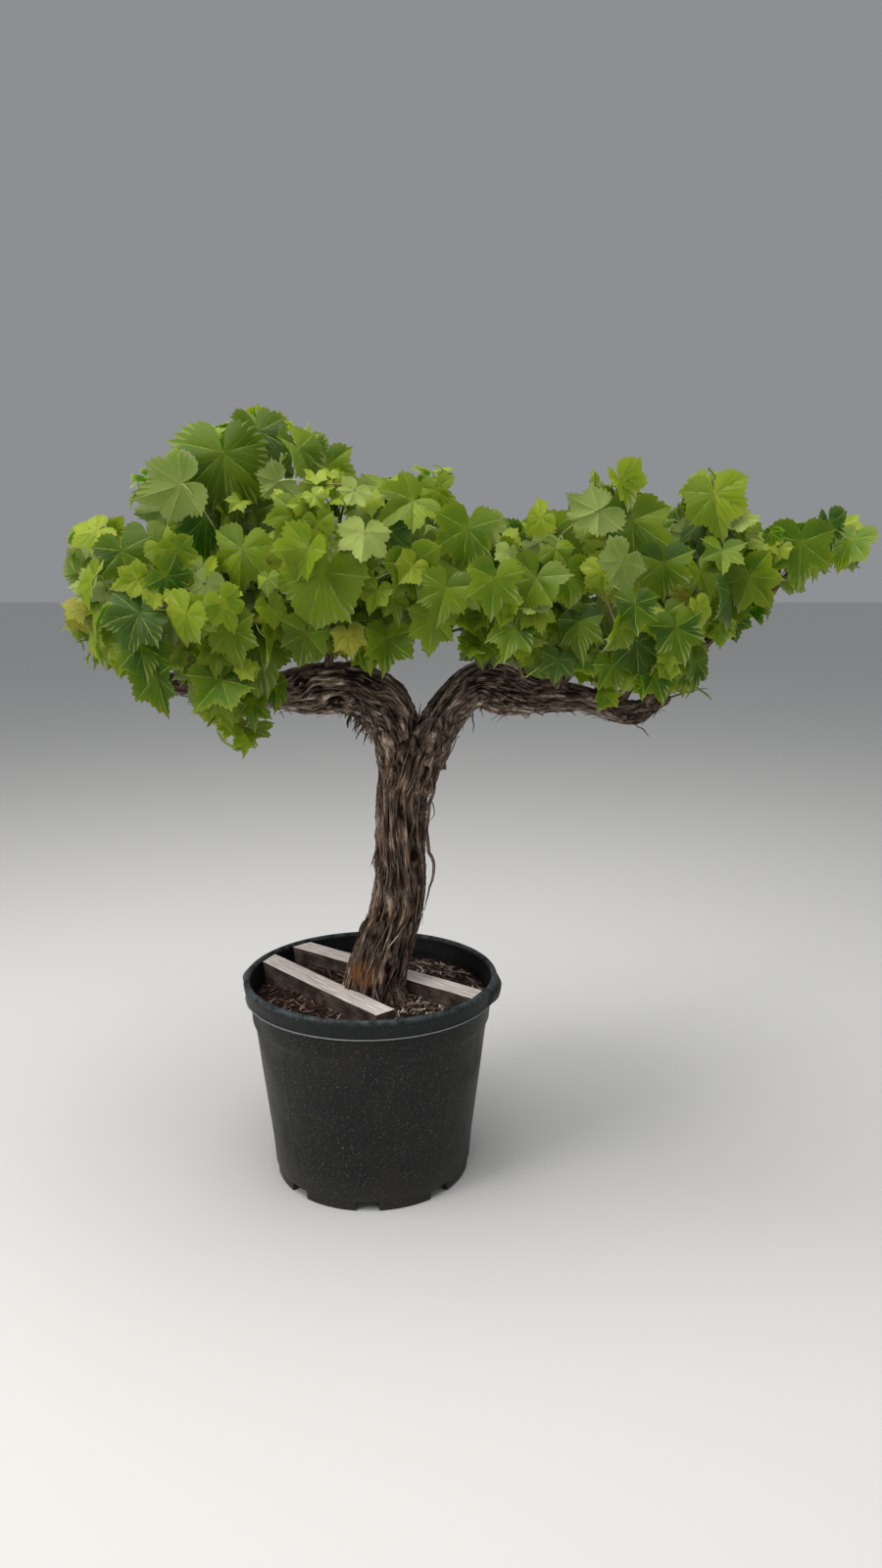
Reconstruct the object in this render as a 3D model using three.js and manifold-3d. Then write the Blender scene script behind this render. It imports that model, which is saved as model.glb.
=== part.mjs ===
// An old grapevine trained as a T of two arms, grown in a round plastic container.
//
// Millimetres, +Z up, the front of the plant towards -Y. The origin is the centre of the
// container's flat underside, so the plant stands on z = 0.
//
// The container holds the soil. The trunk stands on the soil between two timber battens and forks
// into two necks that carry the arms. Boughs rise from the arms, and each ends where it enters its
// own mass of leaves. A mass is one solid: a stem, shoots that branch from it by a seeded rule, and
// leaves on stalks, all fused.

import * as THREE from 'three';
import { mergeVertices } from 'three/addons/utils/BufferGeometryUtils.js';
import Module from 'manifold-3d';

const wasm = await Module();
wasm.setup();

// Driving dimensions

const GAP = 0.3; // between two pieces that touch
const MERGE = 1e-3;
const COURSE_STEPS = 400; // in which a curved course is measured

const pot = {
  height: 488,
  rimRadius: 300, // widest, on the rolled rim
  mouthRadius: 284,
  crestDrop: 4, // from the rim's crest to its inner lip
  rollDrop: 16, // from the crest to the widest place
  bandHeight: 45, // the rim's skirt
  bandRadius: 283, // of the body just under the skirt
  bandStep: 6, // from the rim's edge in to the skirt's foot
  shoulderHeight: 384, // a small step round the body
  shoulderRadius: 275,
  shoulderStep: 4,
  baseRadius: 230,
  wall: 5,
  floorTop: 26,
  floorRadius: 227,
  recess: 14, // the underside between foot ring and centre pad
  recessSlope: 7,
  footWidth: 13,
  footHeight: 24, // a plinth, set in a little under the body
  footStep: 4,
  padRadius: 95,
  segments: 32,
  notches: 8,
  notchWidth: 52,
  notchHeight: 18,
  notchDepth: 32,
  grips: 2, // finger grips, where the skirt swells outwards
  gripReach: 311,
  gripRoot: 288,
  gripAngle: -10,
  gripSpan: 25, // degrees
  gripSteps: 8,
  gripBottom: 446,
  gripTop: 475,
};

const soil = {
  level: 443.7, // flat where trunk and battens stand
  levelRadius: 205,
  wallLevel: 428,
};

const batten = {
  width: 54,
  thickness: 38,
  front: { through: [-106.5, -63], angle: -48.4, from: -300, to: 229 },
  back: { through: [26, 41.5], angle: -37.6, from: -320, to: 320 },
};

// Each station of a limb: where its middle is, its half width across the front view, and its half
// depth as a share of that.
const trunkStations = [
  { at: [11, -62, 424], radius: 92, depth: 1.0 },
  { at: [10, -61, 455], radius: 73, depth: 1.0 },
  { at: [9, -58, 486], radius: 65, depth: 1.0 },
  { at: [33, -48, 565], radius: 61, depth: 1.0 },
  { at: [56, -40, 632], radius: 57, depth: 1.0 },
  { at: [74, -31, 720], radius: 54, depth: 1.02 },
  { at: [73, -24, 800], radius: 53, depth: 1.04 },
  { at: [75, -18, 870], radius: 53, depth: 1.06 },
  { at: [78, -12, 922], radius: 55, depth: 1.04 },
  { at: [90, -8, 973], radius: 65, depth: 0.96 },
  { at: [96, -6, 1013], radius: 73, depth: 0.84 },
  { at: [104, -4, 1042], radius: 86, depth: 0.72 },
  { at: [108, -4, 1072], radius: 92, depth: 0.66 },
];

const forkHeight = 1040;

// Ridges along a limb: how many go round it, and how fast they turn, in radians a millimetre.
const ridges = [
  { count: 3, turn: 0.008, share: 0.6, phase: 0 },
  { count: 5, turn: -0.013, share: 0.4, phase: 1 },
];

const leftStations = [
  { at: [72, -4, 1000], radius: 48, depth: 1.1 },
  { at: [64, -4, 1045], radius: 49, depth: 1.12 },
  { at: [42, -4, 1115], radius: 59, depth: 0.98 },
  { at: [-10, -5, 1156], radius: 57, depth: 0.98 },
  { at: [-60, -7, 1167], radius: 55, depth: 0.98 },
  { at: [-122, -9, 1163], radius: 54, depth: 0.96 },
  { at: [-172, -11, 1160], radius: 45, depth: 0.96 },
  { at: [-215, -13, 1160], radius: 34, depth: 1.0 },
  { at: [-320, -17, 1164], radius: 28, depth: 1.0 },
  { at: [-455, -20, 1178], radius: 19, depth: 1.0 },
];

const rightStations = [
  { at: [122, -2, 1000], radius: 48, depth: 1.1 },
  { at: [142, -2, 1045], radius: 47, depth: 1.12 },
  { at: [176, -1, 1104], radius: 43, depth: 1.04 },
  { at: [212, 0, 1146], radius: 42, depth: 1.06 },
  { at: [256, 1, 1172], radius: 48, depth: 1.02 },
  { at: [302, 2, 1161], radius: 54, depth: 0.98 },
  { at: [350, 3, 1151], radius: 44, depth: 1.0 },
  { at: [415, 5, 1145], radius: 33, depth: 1.0 },
  { at: [480, 7, 1139], radius: 28, depth: 1.0 },
  { at: [548, 9, 1120], radius: 24, depth: 1.0 },
  { at: [606, 10, 1106], radius: 27, depth: 1.06 },
  { at: [650, 11, 1127], radius: 16, depth: 1.0 },
  { at: [690, 12, 1142], radius: 9, depth: 1.0 },
];

// Where each limb's course is split, as a share of its length.
const leftBend = 0.33;
const rightBend = 0.36;
const rightKnob = 0.82;

// How finely each limb is drawn: sides round it, rings along it, and how deep its ridges are.
const detail = {
  trunk: { sides: 14, pieces: 18, ribDepth: 0.06 },
  neck: { sides: 12, pieces: 7, ribDepth: 0.04 },
  left_arm: { sides: 10, pieces: 9, ribDepth: 0.04 },
  right_arm: { sides: 10, pieces: 8, ribDepth: 0.04 },
  right_arm_end: { sides: 10, pieces: 5, ribDepth: 0.04 },
  bough: { sides: 7, pieces: 4, ribDepth: 0.05 },
};

// The masses of leaves. Each has a space round its centre, a bough from the named arm, at the given
// share of the arm's course, unless it grows from the arm's own tip, and a number of leaves. Its tips
// are the crown's furthest shoots there.
const masses = [
  {
    name: 'far_left', centre: [-525, -20, 1370], reach: [175, 270, 212],
    arm: 'left', tip: true, leaves: 27,
    tips: [[-600, 10, 1500], [-630, -60, 1290]],
  },
  {
    name: 'left_top', centre: [-300, 10, 1590], reach: [275, 250, 212],
    arm: 'left', along: 0.74, leaves: 32,
    tips: [[-490, -10, 1600], [-225, -10, 1725], [-110, 30, 1700], [-350, 30, 1705]],
  },
  {
    name: 'left_front', centre: [-330, -190, 1315], reach: [232, 200, 210],
    arm: 'left', along: 0.68, leaves: 26,
    tips: [],
  },
  {
    name: 'left_back', centre: [-250, 210, 1375], reach: [265, 205, 220],
    arm: 'left', along: 0.86, leaves: 24,
    tips: [],
  },
  {
    name: 'left_low', centre: [-300, -118, 1105], reach: [125, 105, 115],
    arm: 'left', along: 0.8, leaves: 9,
    tips: [[-275, -130, 1050]],
  },
  {
    name: 'middle_left', centre: [-60, -155, 1425], reach: [245, 215, 245],
    arm: 'left', along: 0.42, leaves: 30,
    tips: [[-30, -60, 1620]],
  },
  {
    name: 'middle_back', centre: [115, 150, 1450], reach: [235, 225, 260],
    arm: 'left', along: 0.34, leaves: 29,
    tips: [[90, 60, 1620], [170, 120, 1620]],
  },
  {
    name: 'middle_right', centre: [265, -155, 1370], reach: [225, 205, 240],
    arm: 'right', along: 0.34, leaves: 27,
    tips: [[360, -110, 1480]],
  },
  {
    name: 'right_middle', centre: [435, 140, 1370], reach: [215, 210, 225],
    arm: 'right', along: 0.46, leaves: 24,
    tips: [],
  },
  {
    name: 'right_front', centre: [580, -145, 1385], reach: [210, 210, 268],
    arm: 'right', along: 0.58, leaves: 31,
    tips: [[495, -70, 1580], [590, -60, 1580]],
  },
  {
    name: 'right_back', centre: [690, 185, 1370], reach: [190, 195, 235],
    arm: 'right', along: 0.72, leaves: 20,
    tips: [],
  },
  {
    name: 'right_low', centre: [695, -20, 1225], reach: [150, 190, 145],
    arm: 'right', along: 0.89, leaves: 13,
    tips: [],
  },
  {
    name: 'far_right_top', centre: [790, -10, 1480], reach: [165, 215, 205],
    arm: 'right', along: 0.8, leaves: 22,
    tips: [[755, -30, 1600], [850, 0, 1540]],
  },
  {
    name: 'far_right', centre: [975, 0, 1460], reach: [155, 160, 150],
    arm: 'right', along: 0.95, leaves: 14,
    tips: [[1040, 20, 1500], [1050, -20, 1430]],
  },
];

const bough = {
  leastLength: 45, // out of the arm
  startRadius: 16,
  endRadius: 8,
  slim: 0.02, // thinner at the start for each millimetre of length
  mostSlim: 4,
  arch: 0.08, // rise of its middle, as a share of its length
  insideBy: 8, // how far its end lies within the mass's space
};

const shoot = {
  neck: 14, // straight out of the bough's tip
  stemRadius: 8,
  lowest: 0.3, // where shoots leave the stem, as shares of it
  highest: 0.96,
  startRadius: 5.2,
  endRadius: 4,
  leavesEach: 4,
  pieces: 3,
  spread: 0.78, // how far into the space a shoot's end reaches
  lift: 0.22, // arch of a shoot, as a share of its length
  least: 40,
  freeFoot: 25, // near its start a shoot isn't kept clear
  tries: 14,
  drawIn: 0.04, // from one try to the next
  stray: 0.06,
  sampleStep: 8,
};

const leaf = {
  least: 98,
  most: 172,
  smallest: 68,
  young: 0.65, // size of a leaf near the end of a shoot
  youngFrom: 0.85, // share of the shoot
  firstPlace: 0.2, // shares of a shoot between which leaves stand
  lastPlace: 0.97,
  thickness: 5, // in the middle, thinning to the edge
  droop: 0.15, // how far the edge bends back, as a share of the width
  stalkLeast: 32,
  stalkMost: 88,
  stalkRadius: 1.7,
  stalkSlope: 0.42, // least cosine between stalk and face
  stalkFoot: 13, // near the shoot a stalk isn't kept clear
  tries: 90,
  choices: 5, // places that fit, of which the emptiest is taken
  shrink: 0.99, // from one try to the next
  clearOfLimb: 5,
  clearOfNeighbour: 1.5,
  clearOfLeaf: 8,
  sampleStep: 12,
  stalkStep: 6,
  outerShare: 0.35, // how much a place further out counts against an empty one
};

// How a leaf is held: shares of the way out, of the light above, and of chance.
const pose = {
  rise: 0.3,
  stalkStray: 2,
  sideways: 0.7,
  forward: 0.2,
  faceStray: 1.2,
  faceLeast: 0.1,
  faceMost: 0.8,
  tipOut: 0.3,
  tipStray: 1,
};

// The line along the two arms from which leaves turn away.
const core = { from: -420, to: 820, height: 1360 };

const seeds = { mass: 7919, leaf: 101 };

// The outline of a leaf round the point where its stalk meets it, as shares of its width: first
// across, then towards the tip.
const leafOutline = [
  [0, 0.72],
  [-0.5, 0.24],
  [-0.33, -0.27],
  [0.33, -0.27],
  [0.5, 0.24],
];

// Straight sight lines through the crown that stay open: two ends and a radius.
const openings = [
  { from: [-157, -430, 1536], to: [-297, 500, 1562], radius: 27 },
  { from: [432, -430, 1385], to: [548, 500, 1368], radius: 18 },
];

const colours = {
  pot: 0x23282a,
  soil: 0x3b2a20,
  batten: 0x9a8a7e,
  bark: 0x5d4c41,
  leaf: 0x5c8a2c,
};

// Small helpers

const up = new THREE.Vector3(0, 0, 1);
const radians = THREE.MathUtils.degToRad;

function vector(list) {
  return new THREE.Vector3(...list);
}

// Random numbers between 0 and 1 that repeat for the same seed.
function dice(seed) {
  let state = seed >>> 0;
  return () => {
    state = (state + 0x6d2b79f5) >>> 0;
    let mixed = Math.imul(state ^ (state >>> 15), state | 1);
    mixed ^= mixed + Math.imul(mixed ^ (mixed >>> 7), mixed | 61);
    return ((mixed ^ (mixed >>> 14)) >>> 0) / 4294967296;
  };
}

function solidFrom(geometry) {
  const bare = geometry.clone();
  bare.deleteAttribute('normal');
  bare.deleteAttribute('uv');
  const merged = mergeVertices(bare, MERGE);
  const mesh = new wasm.Mesh({
    numProp: 3,
    vertProperties: Float32Array.from(merged.attributes.position.array),
    triVerts: Uint32Array.from(merged.index.array),
  });
  return new wasm.Manifold(mesh);
}

// The largest closed body of a solid: loose scraps go, and sealed hollows are filled.
function mainBody(solid) {
  const bodies = solid.decompose();
  bodies.sort((a, b) => b.volume() - a.volume());
  return bodies[0];
}

function geometryFrom(solid) {
  const mesh = solid.getMesh();
  const geometry = new THREE.BufferGeometry();
  geometry.setAttribute('position', new THREE.BufferAttribute(Float32Array.from(mesh.vertProperties), 3));
  geometry.setIndex(Array.from(mesh.triVerts));
  geometry.computeVertexNormals();
  return geometry;
}

// A closed skin over rings of points, with a flat cap at each end.
function skinOverRings(rings) {
  const sides = rings[0].length;
  const places = [];
  rings.flat().forEach((point) => places.push(point.x, point.y, point.z));
  const faces = [];
  for (let r = 0; r + 1 < rings.length; r += 1) {
    for (let s = 0; s < sides; s += 1) {
      const a = r * sides + s;
      const b = r * sides + ((s + 1) % sides);
      faces.push(a, b, b + sides, a, b + sides, a + sides);
    }
  }
  const last = (rings.length - 1) * sides;
  for (let s = 1; s + 1 < sides; s += 1) {
    faces.push(0, s + 1, s);
    faces.push(last, last + s, last + s + 1);
  }
  const geometry = new THREE.BufferGeometry();
  geometry.setAttribute('position', new THREE.Float32BufferAttribute(places, 3));
  geometry.setIndex(faces);
  return geometry;
}

// A course is a smooth curve through stations, with a half width and half depth all along it.
function courseThrough(stations) {
  const places = stations.map((station) => vector(station.at));
  const curve = new THREE.CatmullRomCurve3(places, false, 'centripetal');
  const lengths = curve.getLengths(COURSE_STEPS);
  const total = lengths[COURSE_STEPS];
  const marks = stations.map((_, i) => {
    return lengths[Math.round((i / (stations.length - 1)) * COURSE_STEPS)] / total;
  });
  return { curve, marks, stations, length: total };
}

function valueAlong(course, share, read) {
  const marks = course.marks;
  let i = 0;
  while (i + 2 < marks.length && share > marks[i + 1]) {
    i += 1;
  }
  const part = THREE.MathUtils.clamp((share - marks[i]) / (marks[i + 1] - marks[i]), 0, 1);
  return THREE.MathUtils.lerp(read(course.stations[i]), read(course.stations[i + 1]), part);
}

// Old vine wood is ribbed: long ridges that turn slowly along the limb.
function ribs(angle, distance, depth) {
  return ridges.reduce((swell, { count, turn, share, phase }) => {
    return swell + depth * share * Math.cos(count * angle + turn * distance + phase);
  }, 1);
}

function limbRing(course, share, sides, ribDepth, grow) {
  const middle = course.curve.getPointAt(share);
  const ahead = course.curve.getTangentAt(share);
  const deep = new THREE.Vector3(0, 1, 0).addScaledVector(ahead, -ahead.y).normalize();
  const wide = new THREE.Vector3().crossVectors(deep, ahead).normalize();
  const radius = valueAlong(course, share, (station) => station.radius);
  const depth = valueAlong(course, share, (station) => station.depth);
  const ring = [];
  for (let s = 0; s < sides; s += 1) {
    const angle = (2 * Math.PI * s) / sides;
    const swell = ribs(angle, share * course.length, ribDepth);
    const point = middle.clone();
    point.addScaledVector(wide, (radius * swell + grow) * Math.cos(angle));
    point.addScaledVector(deep, (radius * depth * swell + grow) * Math.sin(angle));
    ring.push(point);
  }
  return ring;
}

// The part of a limb between two shares of its course, grown sideways for a clearance.
function limb(course, { sides, pieces, ribDepth }, { from = 0, to = 1, grow = 0 } = {}) {
  const rings = [];
  for (let i = 0; i <= pieces; i += 1) {
    const share = THREE.MathUtils.lerp(from, to, i / pieces);
    rings.push(limbRing(course, share, sides, ribDepth, grow));
  }
  return solidFrom(skinOverRings(rings));
}

// The course as points with a radius, ridges included, against which twigs and leaves keep clear.
function beads(course) {
  const ridge = 1.05;
  const count = Math.ceil(course.length / leaf.sampleStep);
  const list = [];
  for (let i = 0; i <= count; i += 1) {
    const share = i / count;
    const radius = valueAlong(course, share, (station) => station.radius * Math.max(1, station.depth));
    list.push({ at: course.curve.getPointAt(share), radius: radius * ridge });
  }
  return list;
}

// Container

// The inside of the container, drawn in by a clearance, between two heights.
function innerRadius(z) {
  const shoulder = pot.shoulderHeight;
  const band = pot.height - pot.bandHeight;
  const atShoulder = pot.shoulderRadius - pot.wall;
  const atBand = pot.bandRadius - pot.wall;
  if (z < shoulder) {
    return THREE.MathUtils.mapLinear(z, pot.floorTop, shoulder, pot.floorRadius, atShoulder);
  }
  if (z < band) {
    return THREE.MathUtils.mapLinear(z, shoulder, band, atShoulder, atBand);
  }
  return THREE.MathUtils.mapLinear(z, band, pot.height, atBand, pot.mouthRadius);
}

function lathe(profile) {
  const points = profile.map(([radius, z]) => new THREE.Vector2(radius, z));
  const turned = new THREE.LatheGeometry(points, pot.segments);
  turned.rotateX(Math.PI / 2);
  return solidFrom(turned);
}

function potBody() {
  const band = pot.height - pot.bandHeight;
  const footInner = pot.baseRadius - pot.footWidth;
  const profile = [
    [0, 0],
    [pot.padRadius, 0],
    [pot.padRadius + pot.recessSlope, pot.recess],
    [footInner - pot.recessSlope, pot.recess],
    [footInner, 0],
    [pot.baseRadius, 0],
    [pot.baseRadius, pot.footHeight],
    [pot.baseRadius + pot.footStep, pot.footHeight + pot.footStep],
    [pot.shoulderRadius, pot.shoulderHeight - pot.shoulderStep / 2],
    [pot.shoulderRadius + pot.shoulderStep, pot.shoulderHeight + pot.shoulderStep / 2],
    [pot.bandRadius, band - pot.bandStep / 2],
    [pot.rimRadius - pot.bandStep, band],
    [pot.rimRadius, pot.height - pot.rollDrop],
    [pot.rimRadius - pot.crestDrop, pot.height - pot.crestDrop],
    [(pot.rimRadius + pot.mouthRadius) / 2, pot.height],
    [pot.mouthRadius, pot.height - pot.crestDrop],
    [innerRadius(band), band],
    [innerRadius(pot.shoulderHeight), pot.shoulderHeight],
    [innerRadius(pot.floorTop), pot.floorTop],
    [0, pot.floorTop],
  ];
  return lathe(profile);
}

function around(index, count, start = 0) {
  return start + (2 * Math.PI * index) / count;
}

function drainNotch(angle) {
  const box = new THREE.BoxGeometry(pot.notchDepth, pot.notchWidth, 2 * pot.notchHeight);
  box.translate(pot.baseRadius, 0, 0);
  box.rotateZ(angle);
  return solidFrom(box);
}

// A finger grip: the skirt swells outwards over a short arc.
function fingerGrip(middleAngle) {
  const half = radians(pot.gripSpan / 2);
  const foot = pot.rimRadius - pot.bandStep - 2;
  const inner = [];
  const outer = [];
  for (let i = 0; i <= pot.gripSteps; i += 1) {
    const angle = THREE.MathUtils.lerp(-half, half, i / pot.gripSteps);
    const swell = Math.sqrt(Math.max(0, Math.sin((Math.PI * i) / pot.gripSteps)));
    const radius = THREE.MathUtils.lerp(foot, pot.gripReach, swell);
    const ray = new THREE.Vector2(Math.cos(angle), Math.sin(angle));
    outer.push(ray.clone().multiplyScalar(radius));
    inner.unshift(ray.multiplyScalar(pot.gripRoot));
  }
  const plan = new THREE.Shape([...outer, ...inner]);
  const block = new THREE.ExtrudeGeometry(plan, { depth: pot.gripTop - pot.gripBottom, bevelEnabled: false });
  block.translate(0, 0, pot.gripBottom);
  block.rotateZ(middleAngle);
  return solidFrom(block);
}

function makePot() {
  let body = potBody();
  for (let i = 0; i < pot.grips; i += 1) {
    body = body.add(fingerGrip(around(i, pot.grips, radians(pot.gripAngle))));
  }
  for (let i = 0; i < pot.notches; i += 1) {
    body = body.subtract(drainNotch(around(i, pot.notches, -Math.PI / 2)));
  }
  return mainBody(body);
}

function makeSoil() {
  return lathe([
    [0, pot.floorTop + GAP],
    [innerRadius(pot.floorTop) - GAP, pot.floorTop + GAP],
    [innerRadius(pot.shoulderHeight) - GAP, pot.shoulderHeight],
    [innerRadius(soil.wallLevel) - GAP, soil.wallLevel],
    [soil.levelRadius, soil.level],
    [0, soil.level],
  ]);
}

// Battens, each a sawn board laid on the soil and cut to the container's inside

function boardBlank(place, grow) {
  const size = [place.to - place.from, batten.width, batten.thickness];
  const blank = new THREE.BoxGeometry(...size.map((side) => side + 2 * grow));
  blank.translate((place.from + place.to) / 2, 0, soil.level + GAP + batten.thickness / 2);
  blank.rotateZ(radians(place.angle));
  blank.translate(place.through[0], place.through[1], 0);
  return solidFrom(blank);
}

function makeBatten(place) {
  const low = soil.wallLevel;
  const room = lathe([
    [0, low],
    [innerRadius(low) - 2 * GAP, low],
    [innerRadius(pot.height - pot.bandHeight) - 2 * GAP, pot.height - pot.bandHeight],
    [pot.mouthRadius - 2 * GAP, pot.height],
    [0, pot.height],
  ]);
  return mainBody(boardBlank(place, 0).intersect(room));
}

// Wood

const courses = {
  trunk: courseThrough(trunkStations),
  left: courseThrough(leftStations),
  right: courseThrough(rightStations),
};

// Everything above a height, as a block that cuts a limb flat.
function above(height) {
  const side = 4000;
  const block = new THREE.BoxGeometry(side, side, side);
  block.translate(0, 0, height + side / 2);
  return solidFrom(block);
}

// The share of a course just past a split.
function past(course, share) {
  return share + GAP / course.length;
}

function woodPieces(grow) {
  const { trunk, left, right } = courses;
  return {
    trunk: limb(trunk, detail.trunk, { grow }),
    left_neck: limb(left, detail.neck, { to: leftBend, grow }),
    left_arm: limb(left, detail.left_arm, { from: past(left, leftBend), grow }),
    right_neck: limb(right, detail.neck, { to: rightBend, grow }),
    right_arm: limb(right, detail.right_arm, { from: past(right, rightBend), to: rightKnob, grow }),
    right_arm_end: limb(right, detail.right_arm_end, { from: past(right, rightKnob), grow }),
  };
}

function makeWood(boards) {
  const wood = woodPieces(0);
  const grown = woodPieces(GAP);
  boards.forEach((place) => {
    wood.trunk = wood.trunk.subtract(boardBlank(place, GAP));
  });
  wood.trunk = wood.trunk.intersect(above(soil.level + GAP)).subtract(above(forkHeight));
  const crown = above(forkHeight + GAP);
  wood.right_neck = wood.right_neck.intersect(crown);
  wood.left_neck = wood.left_neck.intersect(crown).subtract(grown.right_neck);
  Object.keys(wood).forEach((name) => {
    wood[name] = mainBody(wood[name]);
  });
  return { wood, grown };
}

// The space of a mass: an egg round its centre, cut flat where it meets the next mass's space.

function reachTowards(mass, direction) {
  const [x, y, z] = mass.reach;
  return Math.hypot(x * direction.x, y * direction.y, z * direction.z);
}

function dividingPlanes(mass) {
  const planes = [];
  masses.forEach((other) => {
    if (other === mass) {
      return;
    }
    const towards = vector(other.centre).sub(vector(mass.centre));
    const distance = towards.length();
    towards.normalize();
    const mine = reachTowards(mass, towards);
    const theirs = reachTowards(other, towards);
    if (mine + theirs > distance) {
      const limit = (distance * mine) / (mine + theirs) - leaf.clearOfNeighbour;
      planes.push({ towards, limit: towards.dot(vector(mass.centre)) + limit });
    }
  });
  return planes;
}

function insideSpace(mass, point, margin = 0) {
  const away = point.clone().sub(vector(mass.centre));
  const [x, y, z] = mass.reach;
  const depth = Math.hypot(away.x / (x - margin), away.y / (y - margin), away.z / (z - margin));
  return depth < 1 && mass.planes.every((plane) => plane.towards.dot(point) < plane.limit - margin);
}

masses.forEach((mass) => {
  mass.planes = dividingPlanes(mass);
});

// Boughs

// A bough leaves the arm, arches towards its mass and ends just inside the mass's space.
function boughCourse(mass) {
  const arm = courses[mass.arm];
  const start = arm.curve.getPointAt(mass.along);
  const ahead = vector(mass.centre).sub(start).normalize();
  const end = start.clone();
  const buried = valueAlong(arm, mass.along, (station) => station.radius);
  end.addScaledVector(ahead, buried + bough.leastLength);
  while (!insideSpace(mass, end, bough.insideBy)) {
    end.addScaledVector(ahead, 1);
  }
  const reach = start.distanceTo(end);
  const middle = start.clone().lerp(end, 0.5);
  middle.z += reach * bough.arch;
  const startRadius = bough.startRadius - Math.min(bough.mostSlim, reach * bough.slim);
  const middleRadius = (startRadius + bough.endRadius) / 2;
  return courseThrough([
    { at: start.toArray(), radius: startRadius, depth: 1 },
    { at: middle.toArray(), radius: middleRadius, depth: 1 },
    { at: end.toArray(), radius: bough.endRadius, depth: 1 },
  ]);
}

function makeBough(course, grownWood) {
  let solid = limb(course, detail.bough);
  Object.values(grownWood).forEach((wood) => {
    solid = solid.subtract(wood);
  });
  return mainBody(solid);
}

// Keeping clear

function segmentDistance(point, from, to) {
  const line = to.clone().sub(from);
  const share = THREE.MathUtils.clamp(point.clone().sub(from).dot(line) / line.lengthSq(), 0, 1);
  return point.distanceTo(from.clone().addScaledVector(line, share));
}

function inOpening(point) {
  return openings.some(({ from, to, radius }) => segmentDistance(point, vector(from), vector(to)) < radius);
}

function pointsBetween(from, to, step) {
  const count = Math.max(1, Math.ceil(from.distanceTo(to) / step));
  return Array.from({ length: count + 1 }, (_, i) => from.clone().lerp(to, i / count));
}

function pointsOnBlade({ hub, edge }) {
  return edge.flatMap((corner, i) => {
    const rim = pointsBetween(corner, edge[(i + 1) % edge.length], leaf.sampleStep);
    return rim.flatMap((point) => pointsBetween(point, hub, leaf.sampleStep));
  });
}

// Free of the limbs, of what the mass already holds, and inside the mass's space.
function areFree(points, { mass, limbBeads, taken }) {
  return points.every((point) => {
    if (!insideSpace(mass, point) || inOpening(point)) {
      return false;
    }
    const offLimbs = limbBeads.every(({ at, radius }) => {
      return at.distanceToSquared(point) > (radius + leaf.clearOfLimb) ** 2;
    });
    return offLimbs && taken.every((other) => other.distanceToSquared(point) > leaf.clearOfLeaf ** 2);
  });
}

// Twigs and leaves

function twig(points, radii, sides) {
  const rings = points.map((point, i) => {
    const before = points[Math.max(0, i - 1)];
    const after = points[Math.min(points.length - 1, i + 1)];
    const ahead = after.clone().sub(before).normalize();
    const level = Math.abs(ahead.z) > 0.95 ? new THREE.Vector3(1, 0, 0) : up;
    const wide = new THREE.Vector3().crossVectors(level, ahead).normalize();
    const deep = new THREE.Vector3().crossVectors(ahead, wide).normalize();
    return Array.from({ length: sides }, (_, s) => {
      const angle = (2 * Math.PI * s) / sides;
      const out = wide.clone().multiplyScalar(radii[i] * Math.cos(angle));
      return point.clone().add(out).addScaledVector(deep, radii[i] * Math.sin(angle));
    });
  });
  return solidFrom(skinOverRings(rings));
}

// Away from the line along which the two arms run, and away from the crown's two ends.
function outwards(point) {
  const nearest = new THREE.Vector3(THREE.MathUtils.clamp(point.x, core.from, core.to), 0, core.height);
  return point.clone().sub(nearest).normalize();
}

function between(roll, low, high) {
  return low + (high - low) * roll();
}

function jitter(roll) {
  return new THREE.Vector3(roll() - 0.5, roll() - 0.5, roll() - 0.5);
}

// A leaf's place: its hub at the end of the stalk, its face turned outwards and up to the light, and
// its tip hanging.
function bladeAt(root, growth, width, roll) {
  const out = outwards(root);
  const stalk = growth.clone().lerp(out, 0.5);
  stalk.z += pose.rise;
  stalk.addScaledVector(jitter(roll), pose.stalkStray).normalize();
  const hub = root.clone().addScaledVector(stalk, between(roll, leaf.stalkLeast, leaf.stalkMost));
  const face = new THREE.Vector3(out.x * pose.sideways, out.y - pose.forward, 0);
  face.addScaledVector(jitter(roll), pose.faceStray).normalize();
  face.z += between(roll, pose.faceLeast, pose.faceMost);
  face.normalize();
  const tip = out.clone().multiplyScalar(pose.tipOut).addScaledVector(jitter(roll), pose.tipStray);
  tip.z -= 1;
  tip.addScaledVector(face, -tip.dot(face)).normalize();
  const across = new THREE.Vector3().crossVectors(tip, face);
  const edge = leafOutline.map(([side, ahead]) => {
    const back = leaf.droop * width * (side * side + ahead * ahead) * 2;
    const point = hub.clone().addScaledVector(across, side * width);
    return point.addScaledVector(tip, ahead * width).addScaledVector(face, -back);
  });
  return { root, hub, stalk, face, tip, across, edge };
}

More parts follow.
